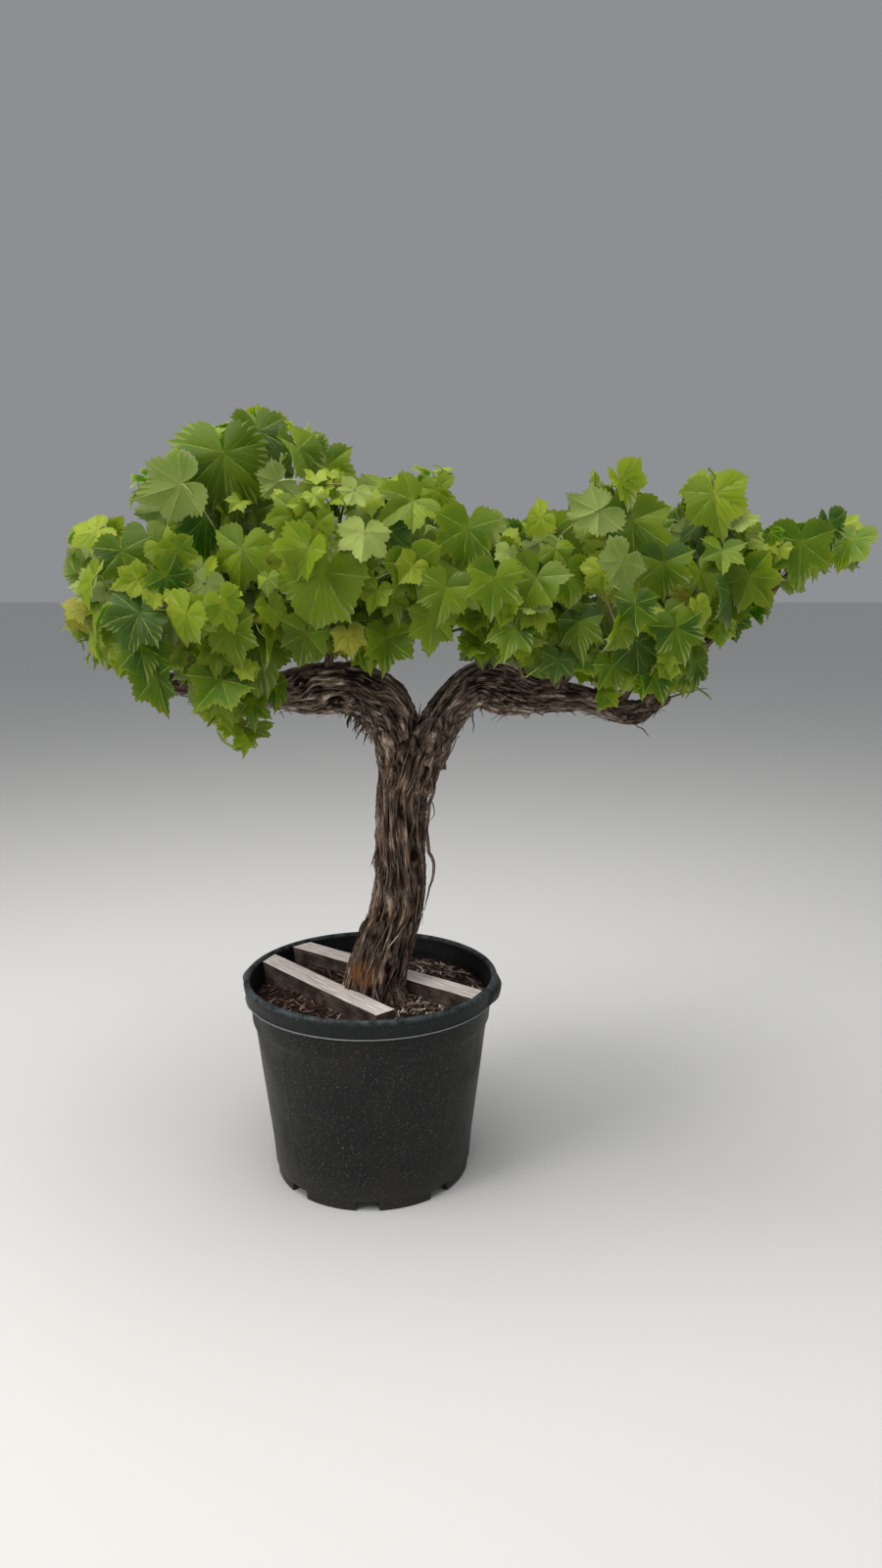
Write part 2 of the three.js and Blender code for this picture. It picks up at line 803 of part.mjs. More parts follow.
// One closed skin for a leaf and its three-sided stalk. The front is a fan round the hub, and the
// back runs from the edge to the end of the stalk.
function leafSolid({ root, hub, stalk, face, tip, across, edge }) {
  const back = hub.clone().addScaledVector(face, -leaf.thickness / 2);
  const hubRing = [];
  const rootRing = [];
  for (let k = 0; k < 3; k += 1) {
    const angle = (2 * Math.PI * k) / 3;
    const flat = tip.clone().multiplyScalar(Math.cos(angle)).addScaledVector(across, -Math.sin(angle));
    const square = flat.clone().addScaledVector(stalk, -flat.dot(stalk));
    const scale = leaf.stalkRadius / square.length();
    hubRing.push(back.clone().addScaledVector(flat, scale));
    rootRing.push(root.clone().addScaledVector(square, scale));
  }
  const front = hub.clone().addScaledVector(face, leaf.thickness / 2);
  const points = [...edge, front, ...hubRing, ...rootRing];
  const fan = [0, 1, 5, 1, 2, 5, 2, 3, 5, 3, 4, 5, 4, 0, 5];
  const rear = [0, 6, 1, 1, 6, 7, 1, 7, 2, 2, 7, 3, 3, 7, 8, 3, 8, 4, 4, 8, 0, 0, 8, 6];
  const sides = [6, 9, 7, 7, 9, 10, 7, 10, 8, 8, 10, 11, 8, 11, 6, 6, 11, 9];
  const faces = [...fan, ...rear, ...sides, 9, 11, 10];
  const geometry = new THREE.BufferGeometry().setFromPoints(points);
  geometry.setIndex(faces);
  const solid = solidFrom(geometry);
  if (solid.volume() > 0) {
    return solid;
  }
  geometry.setIndex(faces.reverse());
  return solidFrom(geometry);
}

// A point on a shoot, with the way the shoot grows there.
function placeOnShoot(points, share) {
  const steps = share * (points.length - 1);
  const step = Math.min(points.length - 2, Math.floor(steps));
  const growth = points[step + 1].clone().sub(points[step]);
  const at = points[step].clone().addScaledVector(growth, steps - step);
  return { at, growth: growth.normalize() };
}

// How empty the place round a hub is, with a little more for places further out.
function emptiness(room, blade) {
  const nearest = room.hubs.reduce((least, hub) => Math.min(least, hub.distanceTo(blade.hub)), leaf.most);
  return nearest + leaf.outerShare * blade.hub.distanceTo(vector(room.mass.centre));
}

// Tries places, sizes and turns, and takes the emptiest of those that fit, or gives none.
function placeLeaf(room, shoots, first, roll) {
  let size = between(roll, leaf.least, leaf.most);
  const fitting = [];
  for (let attempt = 0; attempt < leaf.tries && fitting.length < leaf.choices; attempt += 1) {
    const share = between(roll, leaf.firstPlace, leaf.lastPlace);
    const { at, growth } = placeOnShoot(shoots[(first + attempt) % shoots.length], share);
    const sideways = new THREE.Vector3().crossVectors(growth, up).normalize();
    growth.addScaledVector(sideways, attempt % 2 ? 1 : -1).normalize();
    const width = Math.max(leaf.smallest, share > leaf.youngFrom ? size * leaf.young : size);
    const blade = bladeAt(at, growth, width, roll);
    const stalk = pointsBetween(at, blade.hub, leaf.stalkStep).filter((point) => {
      return point.distanceTo(at) > leaf.stalkFoot;
    });
    if (blade.stalk.dot(blade.face) > leaf.stalkSlope && areFree(stalk, room)) {
      const points = pointsOnBlade(blade);
      if (areFree(points, room)) {
        fitting.push({ blade, points: [...stalk, ...points], score: emptiness(room, blade) });
      }
    }
    size *= leaf.shrink;
  }
  if (!fitting.length) {
    return null;
  }
  const best = fitting.reduce((one, other) => (other.score > one.score ? other : one));
  room.taken.push(...best.points);
  room.hubs.push(best.blade.hub);
  return best.blade;
}

// Directions spread evenly round a ball.
function evenDirection(index, count, turn) {
  const height = 1 - (2 * index + 1) / count;
  const flat = Math.sqrt(1 - height * height);
  const angle = index * Math.PI * (3 - Math.sqrt(5)) + turn;
  return new THREE.Vector3(flat * Math.cos(angle), flat * Math.sin(angle), height);
}

// A shoot that arches from the stem towards an aim, given as a share of the mass's reach. It is
// shortened until it fits.
function shootPoints(room, start, aim, roll) {
  const centre = vector(room.mass.centre);
  for (let attempt = 0; attempt < shoot.tries; attempt += 1) {
    const away = aim.clone().addScaledVector(jitter(roll), shoot.stray * attempt);
    away.multiply(vector(room.mass.reach));
    const end = centre.clone().addScaledVector(away, 1 - shoot.drawIn * attempt);
    const bend = start.clone().lerp(end, 0.5);
    bend.z += start.distanceTo(end) * shoot.lift;
    const points = new THREE.QuadraticBezierCurve3(start, bend, end).getPoints(shoot.pieces);
    const length = start.distanceTo(end);
    const path = points.slice(1).flatMap((point, i) => pointsBetween(points[i], point, shoot.sampleStep));
    const outer = path.filter((point) => point.distanceTo(start) > shoot.freeFoot);
    if (length > shoot.least && areFree(outer, room)) {
      room.taken.push(...outer);
      return points;
    }
  }
  return null;
}

// A mass grows from a stem that goes on from its bough's tip to the middle of its space.
function growMass(mass, index, tipCourse, limbBeads) {
  const end = tipCourse.curve.getPointAt(1);
  const ahead = tipCourse.curve.getTangentAt(1);
  const root = end.clone().addScaledVector(ahead, GAP);
  const centre = vector(mass.centre);
  const neck = root.clone().addScaledVector(ahead, shoot.neck);
  const stem = [root, neck, centre];
  const solids = [twig(stem, stem.map(() => shoot.stemRadius), 4)];
  const near = limbBeads.filter(({ at, radius }) => at.distanceTo(end) > radius + shoot.neck);
  const room = { mass, limbBeads: near, taken: [], hubs: [] };
  const seed = seeds.mass * (index + 1);
  const roll = dice(seed);
  const turn = roll() * Math.PI * 2;
  const shoots = [];
  const count = Math.ceil(mass.leaves / shoot.leavesEach);
  for (let s = 0; s < count; s += 1) {
    const from = neck.clone().lerp(centre, THREE.MathUtils.lerp(shoot.lowest, shoot.highest, s / (count - 1)));
    const furthest = mass.tips[count - 1 - s];
    const aim = furthest
      ? vector(furthest).sub(centre).divide(vector(mass.reach))
      : evenDirection(count - 1 - s, count, turn).multiplyScalar(shoot.spread);
    const points = shootPoints(room, from, aim, roll);
    if (points) {
      const radii = points.map((_, i) => {
        return THREE.MathUtils.lerp(shoot.startRadius, shoot.endRadius, i / shoot.pieces);
      });
      solids.push(twig(points, radii, 3));
      shoots.push(points);
    }
  }
  room.taken.push(...pointsBetween(neck, centre, shoot.sampleStep));
  for (let i = 0; i < mass.leaves; i += 1) {
    const blade = placeLeaf(room, shoots, i, dice(seed + seeds.leaf * (i + 1)));
    if (blade) {
      solids.push(leafSolid(blade));
    }
  }
  return mainBody(wasm.Manifold.union(solids));
}

// The plant

const finishes = {
  pot: { color: colours.pot, roughness: 0.55, metalness: 0 },
  soil: { color: colours.soil, roughness: 0.95, metalness: 0 },
  batten: { color: colours.batten, roughness: 0.85, metalness: 0 },
  bark: { color: colours.bark, roughness: 0.9, metalness: 0 },
  leaf: { color: colours.leaf, roughness: 0.5, metalness: 0, side: THREE.DoubleSide },
};

const plant = new THREE.Group();

function addPiece(name, solid, finish) {
  const mesh = new THREE.Mesh(geometryFrom(solid), new THREE.MeshStandardMaterial(finishes[finish]));
  mesh.name = name;
  plant.add(mesh);
}

addPiece('pot', makePot(), 'pot');
addPiece('soil', makeSoil(), 'soil');
addPiece('batten_front', makeBatten(batten.front), 'batten');
addPiece('batten_back', makeBatten(batten.back), 'batten');

const { wood, grown } = makeWood([batten.front, batten.back]);
Object.entries(wood).forEach(([name, solid]) => addPiece(name, solid, 'bark'));

const boughCourses = new Map();
masses.filter((mass) => !mass.tip).forEach((mass) => {
  const course = boughCourse(mass);
  boughCourses.set(mass.name, course);
  addPiece(`bough_${mass.name}`, makeBough(course, grown), 'bark');
});

const limbBeads = [...Object.values(courses), ...boughCourses.values()].flatMap((course) => beads(course));

masses.forEach((mass, index) => {
  const tipCourse = boughCourses.get(mass.name) ?? courses[mass.arm];
  addPiece(`leaves_${mass.name}`, growMass(mass, index, tipCourse, limbBeads), 'leaf');
});

export default plant;
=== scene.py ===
# %% [markdown]
# # An old grapevine in a container
# The plant was trained for decades as a T: a short leaning trunk forks into two level arms, and new
# shoots with broad leaves stand and hang from them. It grows in a black container with two battens
# wedged in its mouth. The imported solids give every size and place, and this lesson dresses them.
# Lengths are in millimetres until a mesh is made.

import bpy
import numpy as np
from numpy.linalg import norm
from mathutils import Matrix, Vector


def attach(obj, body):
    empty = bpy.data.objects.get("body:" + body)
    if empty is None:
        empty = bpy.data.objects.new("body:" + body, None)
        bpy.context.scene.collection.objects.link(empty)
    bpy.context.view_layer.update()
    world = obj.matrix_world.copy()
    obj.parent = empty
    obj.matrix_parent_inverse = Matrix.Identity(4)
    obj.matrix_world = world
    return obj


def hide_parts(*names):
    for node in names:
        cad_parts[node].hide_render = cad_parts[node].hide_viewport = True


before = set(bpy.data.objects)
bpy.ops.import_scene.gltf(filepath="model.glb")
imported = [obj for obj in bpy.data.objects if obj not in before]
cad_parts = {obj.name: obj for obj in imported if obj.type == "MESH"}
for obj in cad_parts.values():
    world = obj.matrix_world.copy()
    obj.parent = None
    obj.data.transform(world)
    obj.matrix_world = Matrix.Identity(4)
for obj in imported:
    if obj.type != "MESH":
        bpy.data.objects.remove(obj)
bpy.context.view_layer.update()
MM = 0.001
print("solids in the frame:", len(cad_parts))

# %% [markdown]
# ## The camera, the floor and the light
# The photograph was taken from eye height, a step to the right, looking down a little, under a bright
# and even sky. A broad light overhead and a pale world stand for it, with a smaller light at the left
# for the leaves' soft shine. The floor is a pale sheet far larger than the view.

# %% Camera
camera_place = (166, -2600, 1472)
camera_pitch = 11.52  # degrees below level
focal_share = 1178 / 1600  # focal length, as a share of the picture's height
film_height = 36

camera_data = bpy.data.cameras.new("camera")
camera_data.lens = film_height * focal_share
camera_data.sensor_width = film_height
camera = bpy.data.objects.new("camera", camera_data)
camera.location = [MM * value for value in camera_place]
camera.rotation_euler = (np.radians(90 - camera_pitch), 0, 0)
bpy.context.scene.collection.objects.link(camera)
bpy.context.scene.camera = camera
print("lens:", round(camera_data.lens, 2), "mm")

# %% Floor and lights
bpy.context.scene.view_settings.view_transform = "Standard"


def add_light(name, place, aim, size, power, colour):
    """A square soft light that faces its aim. Places are in metres."""
    data = bpy.data.lights.new(name, "AREA")
    data.size = size
    data.energy = power
    data.color = colour
    lamp = bpy.data.objects.new(name, data)
    lamp.location = place
    towards = Vector(aim) - Vector(place)
    lamp.rotation_euler = towards.to_track_quat("-Z", "Y").to_euler()
    bpy.context.scene.collection.objects.link(lamp)


add_light("sky_light", (-0.3, -0.6, 4.6), (0.15, 0, 1.2), 4.0, 188, (1.0, 0.99, 0.96))
add_light("side_light", (-3.2, -2.6, 2.9), (0.1, 0, 1.2), 1.6, 62, (1.0, 0.97, 0.92))
add_light("front_light", (2.2, -3.6, 2.0), (0.1, 0, 0.7), 2.4, 8, (0.95, 0.98, 1.0))

sky_colour = (0.86, 0.89, 0.93, 1)
sky_strength = 0.31
world = bpy.data.worlds.new("studio")
world.use_nodes = True
background = world.node_tree.nodes["Background"]
background.inputs["Color"].default_value = sky_colour
background.inputs["Strength"].default_value = sky_strength
bpy.context.scene.world = world

floor_mesh = bpy.data.meshes.new("floor")
floor_side = 30.0  # metres, half of the sheet
corners = [(-1, -1), (1, -1), (1, 1), (-1, 1)]
floor_mesh.from_pydata([(floor_side * x, floor_side * y, 0) for x, y in corners], [], [(0, 1, 2, 3)])
floor = bpy.data.objects.new("floor", floor_mesh)
bpy.context.scene.collection.objects.link(floor)

# %% [markdown]
# ## Writing a material as maths
# A graph of nodes drawn by hand grows into a web. Here a socket is wrapped in a small class with the
# operators that the finishes use, so a line such as 1 - mask adds the Math node that it means.


# %% Shader helpers
class Wire:
    """The output of a node, on which sums are written as expressions."""

    def __init__(self, finish, socket):
        self.finish = finish
        self.socket = socket

    def maths(self, operation, first, second):
        return self.finish.add("ShaderNodeMath", {"operation": operation}, {0: first, 1: second})

    def __add__(self, other):
        return self.maths("ADD", self, other)

    def __sub__(self, other):
        return self.maths("SUBTRACT", self, other)

    def __rsub__(self, other):
        return self.maths("SUBTRACT", other, self)

    def __mul__(self, other):
        return self.maths("MULTIPLY", self, other)

    __radd__ = __add__
    __rmul__ = __mul__


class Finish:
    """One material under construction."""

    def __init__(self, name, colour=(0.5, 0.5, 0.5), roughness=0.5):
        self.material = bpy.data.materials.new(name)
        self.material.use_nodes = True
        self.tree = self.material.node_tree
        self.shader = self.tree.nodes["Principled BSDF"]
        self.feed("Base Color", (*colour, 1))
        self.feed("Roughness", roughness)
        self.feed("Specular IOR Level", 0.2)

    def feed(self, name, value, node=None):
        """Sets or links an input of the shader, or of another node."""
        socket = (node or self.shader).inputs[name]
        if isinstance(value, Wire):
            self.tree.links.new(value.socket, socket)
        else:
            socket.default_value = value

    def add(self, kind, settings, values, output=0):
        """Any node: its settings first, then the values or links of its sockets."""
        node = self.tree.nodes.new(kind)
        for name, value in settings.items():
            setattr(node, name, value)
        for name, value in values.items():
            self.feed(name, value, node)
        return Wire(self, node.outputs[output])

    def vectors(self, operation, first, second=None, output="Vector"):
        """A sum on vectors."""
        values = {0: first} if second is None else {0: first, 1: second}
        return self.add("ShaderNodeVectorMath", {"operation": operation}, values, output)

    def place(self, stretch=(1, 1, 1)):
        """Where a point lies on the object, in metres, stretched along each axis."""
        spot = self.add("ShaderNodeTexCoord", {}, {}, output="Object")
        return self.vectors("MULTIPLY", spot, stretch)

    def rise(self, vector):
        """The upright part of a vector."""
        return self.add("ShaderNodeSeparateXYZ", {}, {0: vector}, output=2)

    def attribute(self, name, output="Fac"):
        """A value that the mesh carries at each point."""
        return self.add("ShaderNodeAttribute", {"attribute_name": name}, {}, output)

    def grain(self, size, where=None, detail=3.0, rough=0.55):
        """Noise between 0 and 1 whose waves are about size metres long."""
        where = self.place() if where is None else where
        values = {"Vector": where, "Scale": 1 / size, "Detail": detail, "Roughness": rough}
        return self.add("ShaderNodeTexNoise", {}, values)

    def ramp(self, value, low, high):
        """0 below low and 1 above high, with a smooth step between."""
        values = {"Value": value, "From Min": low, "From Max": high}
        return self.add("ShaderNodeMapRange", {"interpolation_type": "SMOOTHSTEP"}, values)

    def blend(self, share, first, second):
        """A colour between two."""
        pair = [colour if isinstance(colour, Wire) else (*colour, 1) for colour in (first, second)]
        values = {0: share, 6: pair[0], 7: pair[1]}
        return self.add("ShaderNodeMix", {"data_type": "RGBA"}, values, output=2)

    def bump(self, height, distance, strength):
        values = {"Height": height, "Distance": distance, "Strength": strength}
        self.feed("Normal", self.add("ShaderNodeBump", {}, values))


floor_finish = Finish("floor_paper", (0.78, 0.77, 0.75), 0.9)
floor_mesh.materials.append(floor_finish.material)
print("materials:", len(bpy.data.materials))

# %% [markdown]
# ## Meshes from arrays
# Blender could copy a leaf with an array or a particle system, but each leaf here has its own shape. So
# points and faces are worked out in numpy for all of them at once, and a bundle joins them.


# %% Mesh helpers
def unit(vectors):
    """The same directions, one unit long."""
    return vectors / np.maximum(norm(vectors, axis=-1, keepdims=True), 1e-9)


class Bundle:
    """Points, faces and the material number of each face, for one joined piece."""

    def __init__(self, materials):
        self.materials = materials
        self.points = []
        self.faces = []
        self.tones = []
        self.size = 0

    def add(self, points, faces, tone=0):
        self.add_toned(points, faces, [np.broadcast_to(tone, len(group)) for group in faces])

    def add_toned(self, points, faces, tones):
        """Adds groups of faces, each with the material number of every face."""
        points = np.asarray(points, float).reshape(-1, 3)
        for group, tone in zip(faces, tones):
            self.faces.append(group + self.size)
            self.tones.append(tone)
        self.points.append(points)
        self.size += len(points)

    def make(self, name, stands_for=(), smooth=True):
        mesh = bpy.data.meshes.new(name)
        points = np.concatenate(self.points) * MM
        corner_list = np.concatenate([group.ravel() for group in self.faces])
        counts = np.concatenate([np.full(len(group), group.shape[1]) for group in self.faces])
        starts = np.concatenate([[0], np.cumsum(counts)[:-1]])
        mesh.vertices.add(len(points))
        mesh.vertices.foreach_set("co", points.astype(np.float32).ravel())
        mesh.loops.add(len(corner_list))
        mesh.loops.foreach_set("vertex_index", corner_list.astype(np.int32))
        mesh.polygons.add(len(counts))
        mesh.polygons.foreach_set("loop_start", starts.astype(np.int32))
        for material in self.materials:
            mesh.materials.append(material)
        mesh.polygons.foreach_set("material_index", np.concatenate(self.tones).astype(np.int32))
        mesh.polygons.foreach_set("use_smooth", np.full(len(counts), smooth))
        mesh.update(calc_edges=True)
        piece = bpy.data.objects.new(name, mesh)
        bpy.context.scene.collection.objects.link(piece)
        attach(piece, "root")
        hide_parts(*stands_for)
        print(f"{name}: {(counts - 2).sum()} triangles")
        return piece


def skin_faces(count, stations, sides):
    """Faces of closed skins over rings of points: quads along each, and a cap at each end."""
    first = np.arange(count)[:, None, None] * stations * sides
    ring = np.arange(stations - 1)[None, :, None] * sides
    side = np.arange(sides)[None, None, :]
    a = first + ring + side
    b = first + ring + (side + 1) % sides
    walls = np.stack([a, b, b + sides, a + sides], -1).reshape(-1, 4)
    foot = (first[:, 0] + side[0])[:, ::-1]
    head = first[:, 0] + (stations - 1) * sides + side[0]
    return [walls, foot, head]


slanting = (0.31, 0.9, 0.29)  # no path runs this way


def sweep(paths, wide, deep, sides, phase=0.0):
    """Closed skins round many paths at once. wide and deep are the half axes of each section."""
    angles = phase + 2 * np.pi * np.arange(sides) / sides
    spread = wide[:, :, None] * np.cos(angles)[:, None] + deep[:, :, None] * np.sin(angles)[:, None]
    points = paths[:, :, None] + spread
    return points.reshape(-1, 3), skin_faces(len(paths), paths.shape[1], sides)


def tubes(paths, radii, sides):
    """Round skins round many paths at once."""
    ahead = unit(np.gradient(paths, axis=1))
    wide = unit(np.cross(ahead, slanting))
    deep = np.cross(ahead, wide)
    radii = np.broadcast_to(radii, paths.shape[:2])[..., None]
    return sweep(paths, wide * radii, deep * radii, sides)


# %% Noise
full_word = 0xFFFFFFFF
cell_factors = np.array([73856093, 19349663, 83492791])
seed_factor = 2654435761
mix_factor = 1274126177


def chance(cells, seed):
    """A repeatable number between -1 and 1 for each cell of a grid."""
    mixed = np.bitwise_xor.reduce(cells * cell_factors, axis=-1) ^ (seed * seed_factor)
    mixed = mixed & full_word
    mixed = ((mixed ^ (mixed >> 13)) * mix_factor) & full_word
    mixed = mixed ^ (mixed >> 16)
    return mixed / (full_word >> 1) - 1


def noise(points, seed=0):
    """Smooth noise between about -1 and 1, with one wave to a unit."""
    cell = np.floor(points).astype(np.int64)
    part = points - cell
    part = part * part * (3 - 2 * part)
    total = 0.0
    for corner in np.ndindex(2, 2, 2):
        corner = np.array(corner)
        weight = np.prod(np.where(corner, part, 1 - part), axis=-1)
        total = total + weight * chance(cell + corner, seed)
    return total


sample = noise(np.random.default_rng(1).uniform(0, 20, (1000, 3)))
print("noise spreads by", round(float(sample.std()), 2))

# %% [markdown]
# ## The container
# A nursery container is moulded in one piece. It could be a lathe with a screw modifier, but the finger
# grips, ribs and drain notches change round the turn. So the profile is a short list, and the radius and
# height of each point are worked out for every angle.

# %% Container sizes
pot = {"rim": 300, "mouth": 284, "height": 488, "skirt_foot": 443, "base": 230, "foot_inner": 217}
notch = {"count": 8, "half_width": 26, "height": 18, "first": -90}
grip = {"angle": -10, "span": 25, "reach": 311, "bottom": 446, "top": 475}
# Angles of the ribs are degrees from the back of the container.
ribs = {"angles": (-148, -136, -44, -31, 31, 44, 136, 149), "rise": 1.1, "half_span": 0.9,
        "foot": (40, 60), "head": (350, 372)}
flash = {"radius": 296.2, "least": 0.5, "ragged": 0.9}  # the thin line of plastic at the skirt's foot
turn_steps = 288
rim_steps = 10
rim_rise = 12


def rim_roll():
    """The rolled rim, from the skirt's outside over the crest to the mouth."""
    middle = (pot["rim"] + pot["mouth"]) / 2
    half = (pot["rim"] - pot["mouth"]) / 2
    angle = np.linspace(0, np.pi, rim_steps)
    return list(zip(middle + half * np.cos(angle), pot["height"] - rim_rise + rim_rise * np.sin(angle)))


# The profile as radius and height, from the middle of the underside to the middle of the floor inside.
outside = [
    (0, 0), (95, 0), (99, 6), (102, 14), (210, 14), (216, 4), (217, 0), (228, 0), (230, 3), (230, 12),
    (230, 22), (231, 25), (234, 27.5), (235.5, 32), (240, 90), (251, 180), (262, 270), (270, 340),
    (275, 378), (276, 382), (279.5, 385), (281, 390), (282.5, 410), (283, 436), (283.5, 441), (293, 442),
    (296.2, 442.2), (296.2, 443.2), (294, 444.2), (294.5, 449), (297, 460), (299.2, 470),
]
inside = [(284, 470), (279.5, 455), (278, 443), (277, 425), (270, 384), (227, 26), (0, 26)]
profile = np.array(outside + rim_roll() + inside, float)
print("profile points:", len(profile))


# %% Container mesh
def smooth_step(value, low, high):
    """0 below low and 1 above high, with a smooth step between."""
    part = np.clip((value - low) / (high - low), 0, 1)
    return part * part * (3 - 2 * part)


def angles_away(angles, middle):
    """Degrees between each angle and the middle one, from -180 to 180."""
    return (np.degrees(angles) - middle + 180) % 360 - 180


def container_points(angles):
    """The profile at every angle, with grips, ribs, the ragged flash and drain notches."""
    radius, height = np.broadcast_arrays(profile[None, :, 0], profile[None, :, 1])
    radius = np.repeat(radius, len(angles), 0).copy()
    height = np.repeat(height, len(angles), 0).copy()
    outer = np.arange(len(profile)) < len(outside) + rim_steps // 2 + 1
    for middle in (grip["angle"], grip["angle"] + 180):
        away = angles_away(angles, middle)
        swell = np.sqrt(np.clip(np.cos(np.pi * away / grip["span"]), 0, 1)) * (abs(away) < grip["span"] / 2)
        in_band = smooth_step(height, grip["bottom"] - 1, grip["bottom"] + 2)
        in_band = in_band * (1 - smooth_step(height, grip["top"] - 8, grip["top"] + 9)) * outer
        radius += in_band * swell[:, None] * (grip["reach"] - pot["rim"] + 2)
    for middle in ribs["angles"]:
        ridge = np.clip(1 - abs(angles_away(angles, middle + 90)) / ribs["half_span"], 0, 1)
        on_body = smooth_step(height, *ribs["foot"]) * (1 - smooth_step(height, *ribs["head"])) * outer
        radius += ribs["rise"] * on_body * ridge[:, None]
    on_flash = (abs(profile[:, 0] - flash["radius"]) < 0.01)[None, :]
    ragged = noise(np.stack([angles * 60, angles * 0, angles * 0], -1), 5)
    radius += on_flash * (flash["ragged"] * ragged[:, None] + flash["least"])
    step = 360 / notch["count"]
    away = (np.degrees(angles) - notch["first"] + step / 2) % step - step / 2
    cut = abs(away) < np.degrees(notch["half_width"] / pot["base"])
    low = (profile[:, 0] > pot["foot_inner"] - 8)[None, :] & (height < notch["height"])
    height = np.where(low & cut[:, None] & outer, notch["height"] + 0.01 * radius, height)
    return np.stack([radius * np.cos(angles)[:, None], radius * np.sin(angles)[:, None], height], -1)


def container_angles():
    """Even steps, with a pair of close steps at each edge of a notch."""
    even = 2 * np.pi * np.arange(turn_steps) / turn_steps
    half = notch["half_width"] / pot["base"]
    middles = np.radians(notch["first"]) + 2 * np.pi * np.arange(notch["count"]) / notch["count"]
    edges = [middles + side * (half + away) for side in (-1, 1) for away in (-0.003, 0.003)]
    return np.unique(np.round(np.concatenate([even, *edges]) % (2 * np.pi), 6))


def container_faces(turns, rows):
    """Quads between neighbouring angles, and triangles where the profile meets the axis."""
    k = np.arange(turns)[:, None]
    following = (k + 1) % turns
    row = np.arange(1, rows - 2)[None, :]
    here, there = k * rows + row, following * rows + row
    quads = np.stack([here, there, there + 1, here + 1], -1)
    foot = np.stack([0 * k, following * rows + 1, k * rows + 1], -1)
    top = np.stack([0 * k + rows - 1, k * rows + rows - 2, following * rows + rows - 2], -1)
    return [quads.reshape(-1, 4), foot.reshape(-1, 3), top.reshape(-1, 3)]


def plastic(name, dusty):
    """Charcoal plastic with a leathery skin, pale specks, and dust that settles on the sides."""
    finish = Finish(name)
    fine = finish.grain(0.0016, detail=2.0)
    specks = finish.ramp(finish.grain(0.0036, detail=2.0), 0.61, 0.68)
    patches = finish.ramp(finish.grain(0.09, detail=4.0), 0.42, 0.66)
    height = finish.rise(finish.place())
    # Painted highlight: a pale bluish line, broken by noise, along the rim's crest.
    painted_crest_highlight = finish.ramp(height, 0.4835, 0.4875) * finish.ramp(finish.grain(0.03), 0.35, 0.6)
    low_dust = 1 - finish.ramp(height, 0.0, 0.12)
    colour = finish.blend(patches * dusty, (0.0065, 0.0075, 0.008), (0.0155, 0.015, 0.0135))
    colour = finish.blend(specks * (dusty * 0.75), colour, (0.13, 0.125, 0.115))
    colour = finish.blend(low_dust * 0.35, colour, (0.05, 0.048, 0.043))
    colour = finish.blend(painted_crest_highlight * 0.6, colour, (0.08, 0.105, 0.11))
    finish.feed("Base Color", colour)
    finish.feed("Roughness", patches * 0.18 + 0.42)
    finish.feed("Specular IOR Level", 0.22)
    finish.bump(fine + specks * 0.5, 0.0006, 0.55)
    return finish.material


def rim_plastic():
    """The skirt is smoother and bluer than the body, with a pale bluish painted highlight, broken by noise,
    along its crest.
    """
    finish = Finish("skirt_plastic")
    height = finish.rise(finish.place())
    # Painted highlight: a pale bluish line, broken by noise, along the crest.
    painted_crest_highlight = finish.ramp(height, 0.474, 0.487) * finish.ramp(finish.grain(0.02), 0.3, 0.62)
    specks = finish.ramp(finish.grain(0.005, detail=1.0), 0.68, 0.74)
    colour = finish.blend(painted_crest_highlight, (0.0085, 0.011, 0.012), (0.062, 0.08, 0.086))
    finish.feed("Base Color", finish.blend(specks * 0.35, colour, (0.16, 0.15, 0.135)))
    finish.feed("Specular IOR Level", 0.22)
    finish.feed("Roughness", 0.5 - painted_crest_highlight * 0.12)
    finish.bump(finish.grain(0.0014, detail=2.0), 0.0004, 0.4)
    return finish.material


def make_container():
    angles = container_angles()
    points = container_points(angles)
    rows = len(profile)
    faces = container_faces(len(angles), rows)
    row = np.arange(1, rows - 2)
    height = (profile[row, 1] + profile[row + 1, 1]) / 2
    tone = np.where(height > pot["skirt_foot"] - 3, 1, 0)
    tone[len(outside) - 7:len(outside) - 5] = 2
    tone[row >= len(outside) + rim_steps - 2] = 3
    tone = np.tile(tone, len(angles))
    # The flash is a thin ridge of plastic; its pale colour is a painted highlight along the skirt's lower
    # edge.
    pale = Finish("flash_highlight_plastic", (0.2, 0.21, 0.2), 0.6).material
    bundle = Bundle([plastic("body_plastic", 1.0), rim_plastic(), pale, plastic("inner_plastic", 0.3)])
    bundle.add_toned(points, faces, [tone, *[np.zeros(len(group)) for group in faces[1:]]])
    bundle.make("container", ["pot"])


make_container()

# %% [markdown]
# ## Mulch and battens
# A height map with a texture would look like felt, so some thousands of shreds of bark are laid one by
# one on an uneven ground. The battens' grain is real grooves, because the light rakes over them.

# %% Mulch
ground = {"level": 443.7, "level_radius": 205, "wall": 429, "radius": 276.5, "rings": 50, "turns": 110,
          "skirt": 40, "wave": 17}
heap = {"rise": 8, "middle": (165, 90), "reach": (70, 80)}
shreds = {"count": 2300, "least": 7, "longest": 46, "seed": 21, "bend": 3.0, "raised": (0.2, 5.5),
          "half": (0.7, 2.9), "taper": (0.45, 1.0, 0.9, 0.3), "flat": 0.35,
          "tones": (0.20, 0.24, 0.26, 0.18, 0.12)}


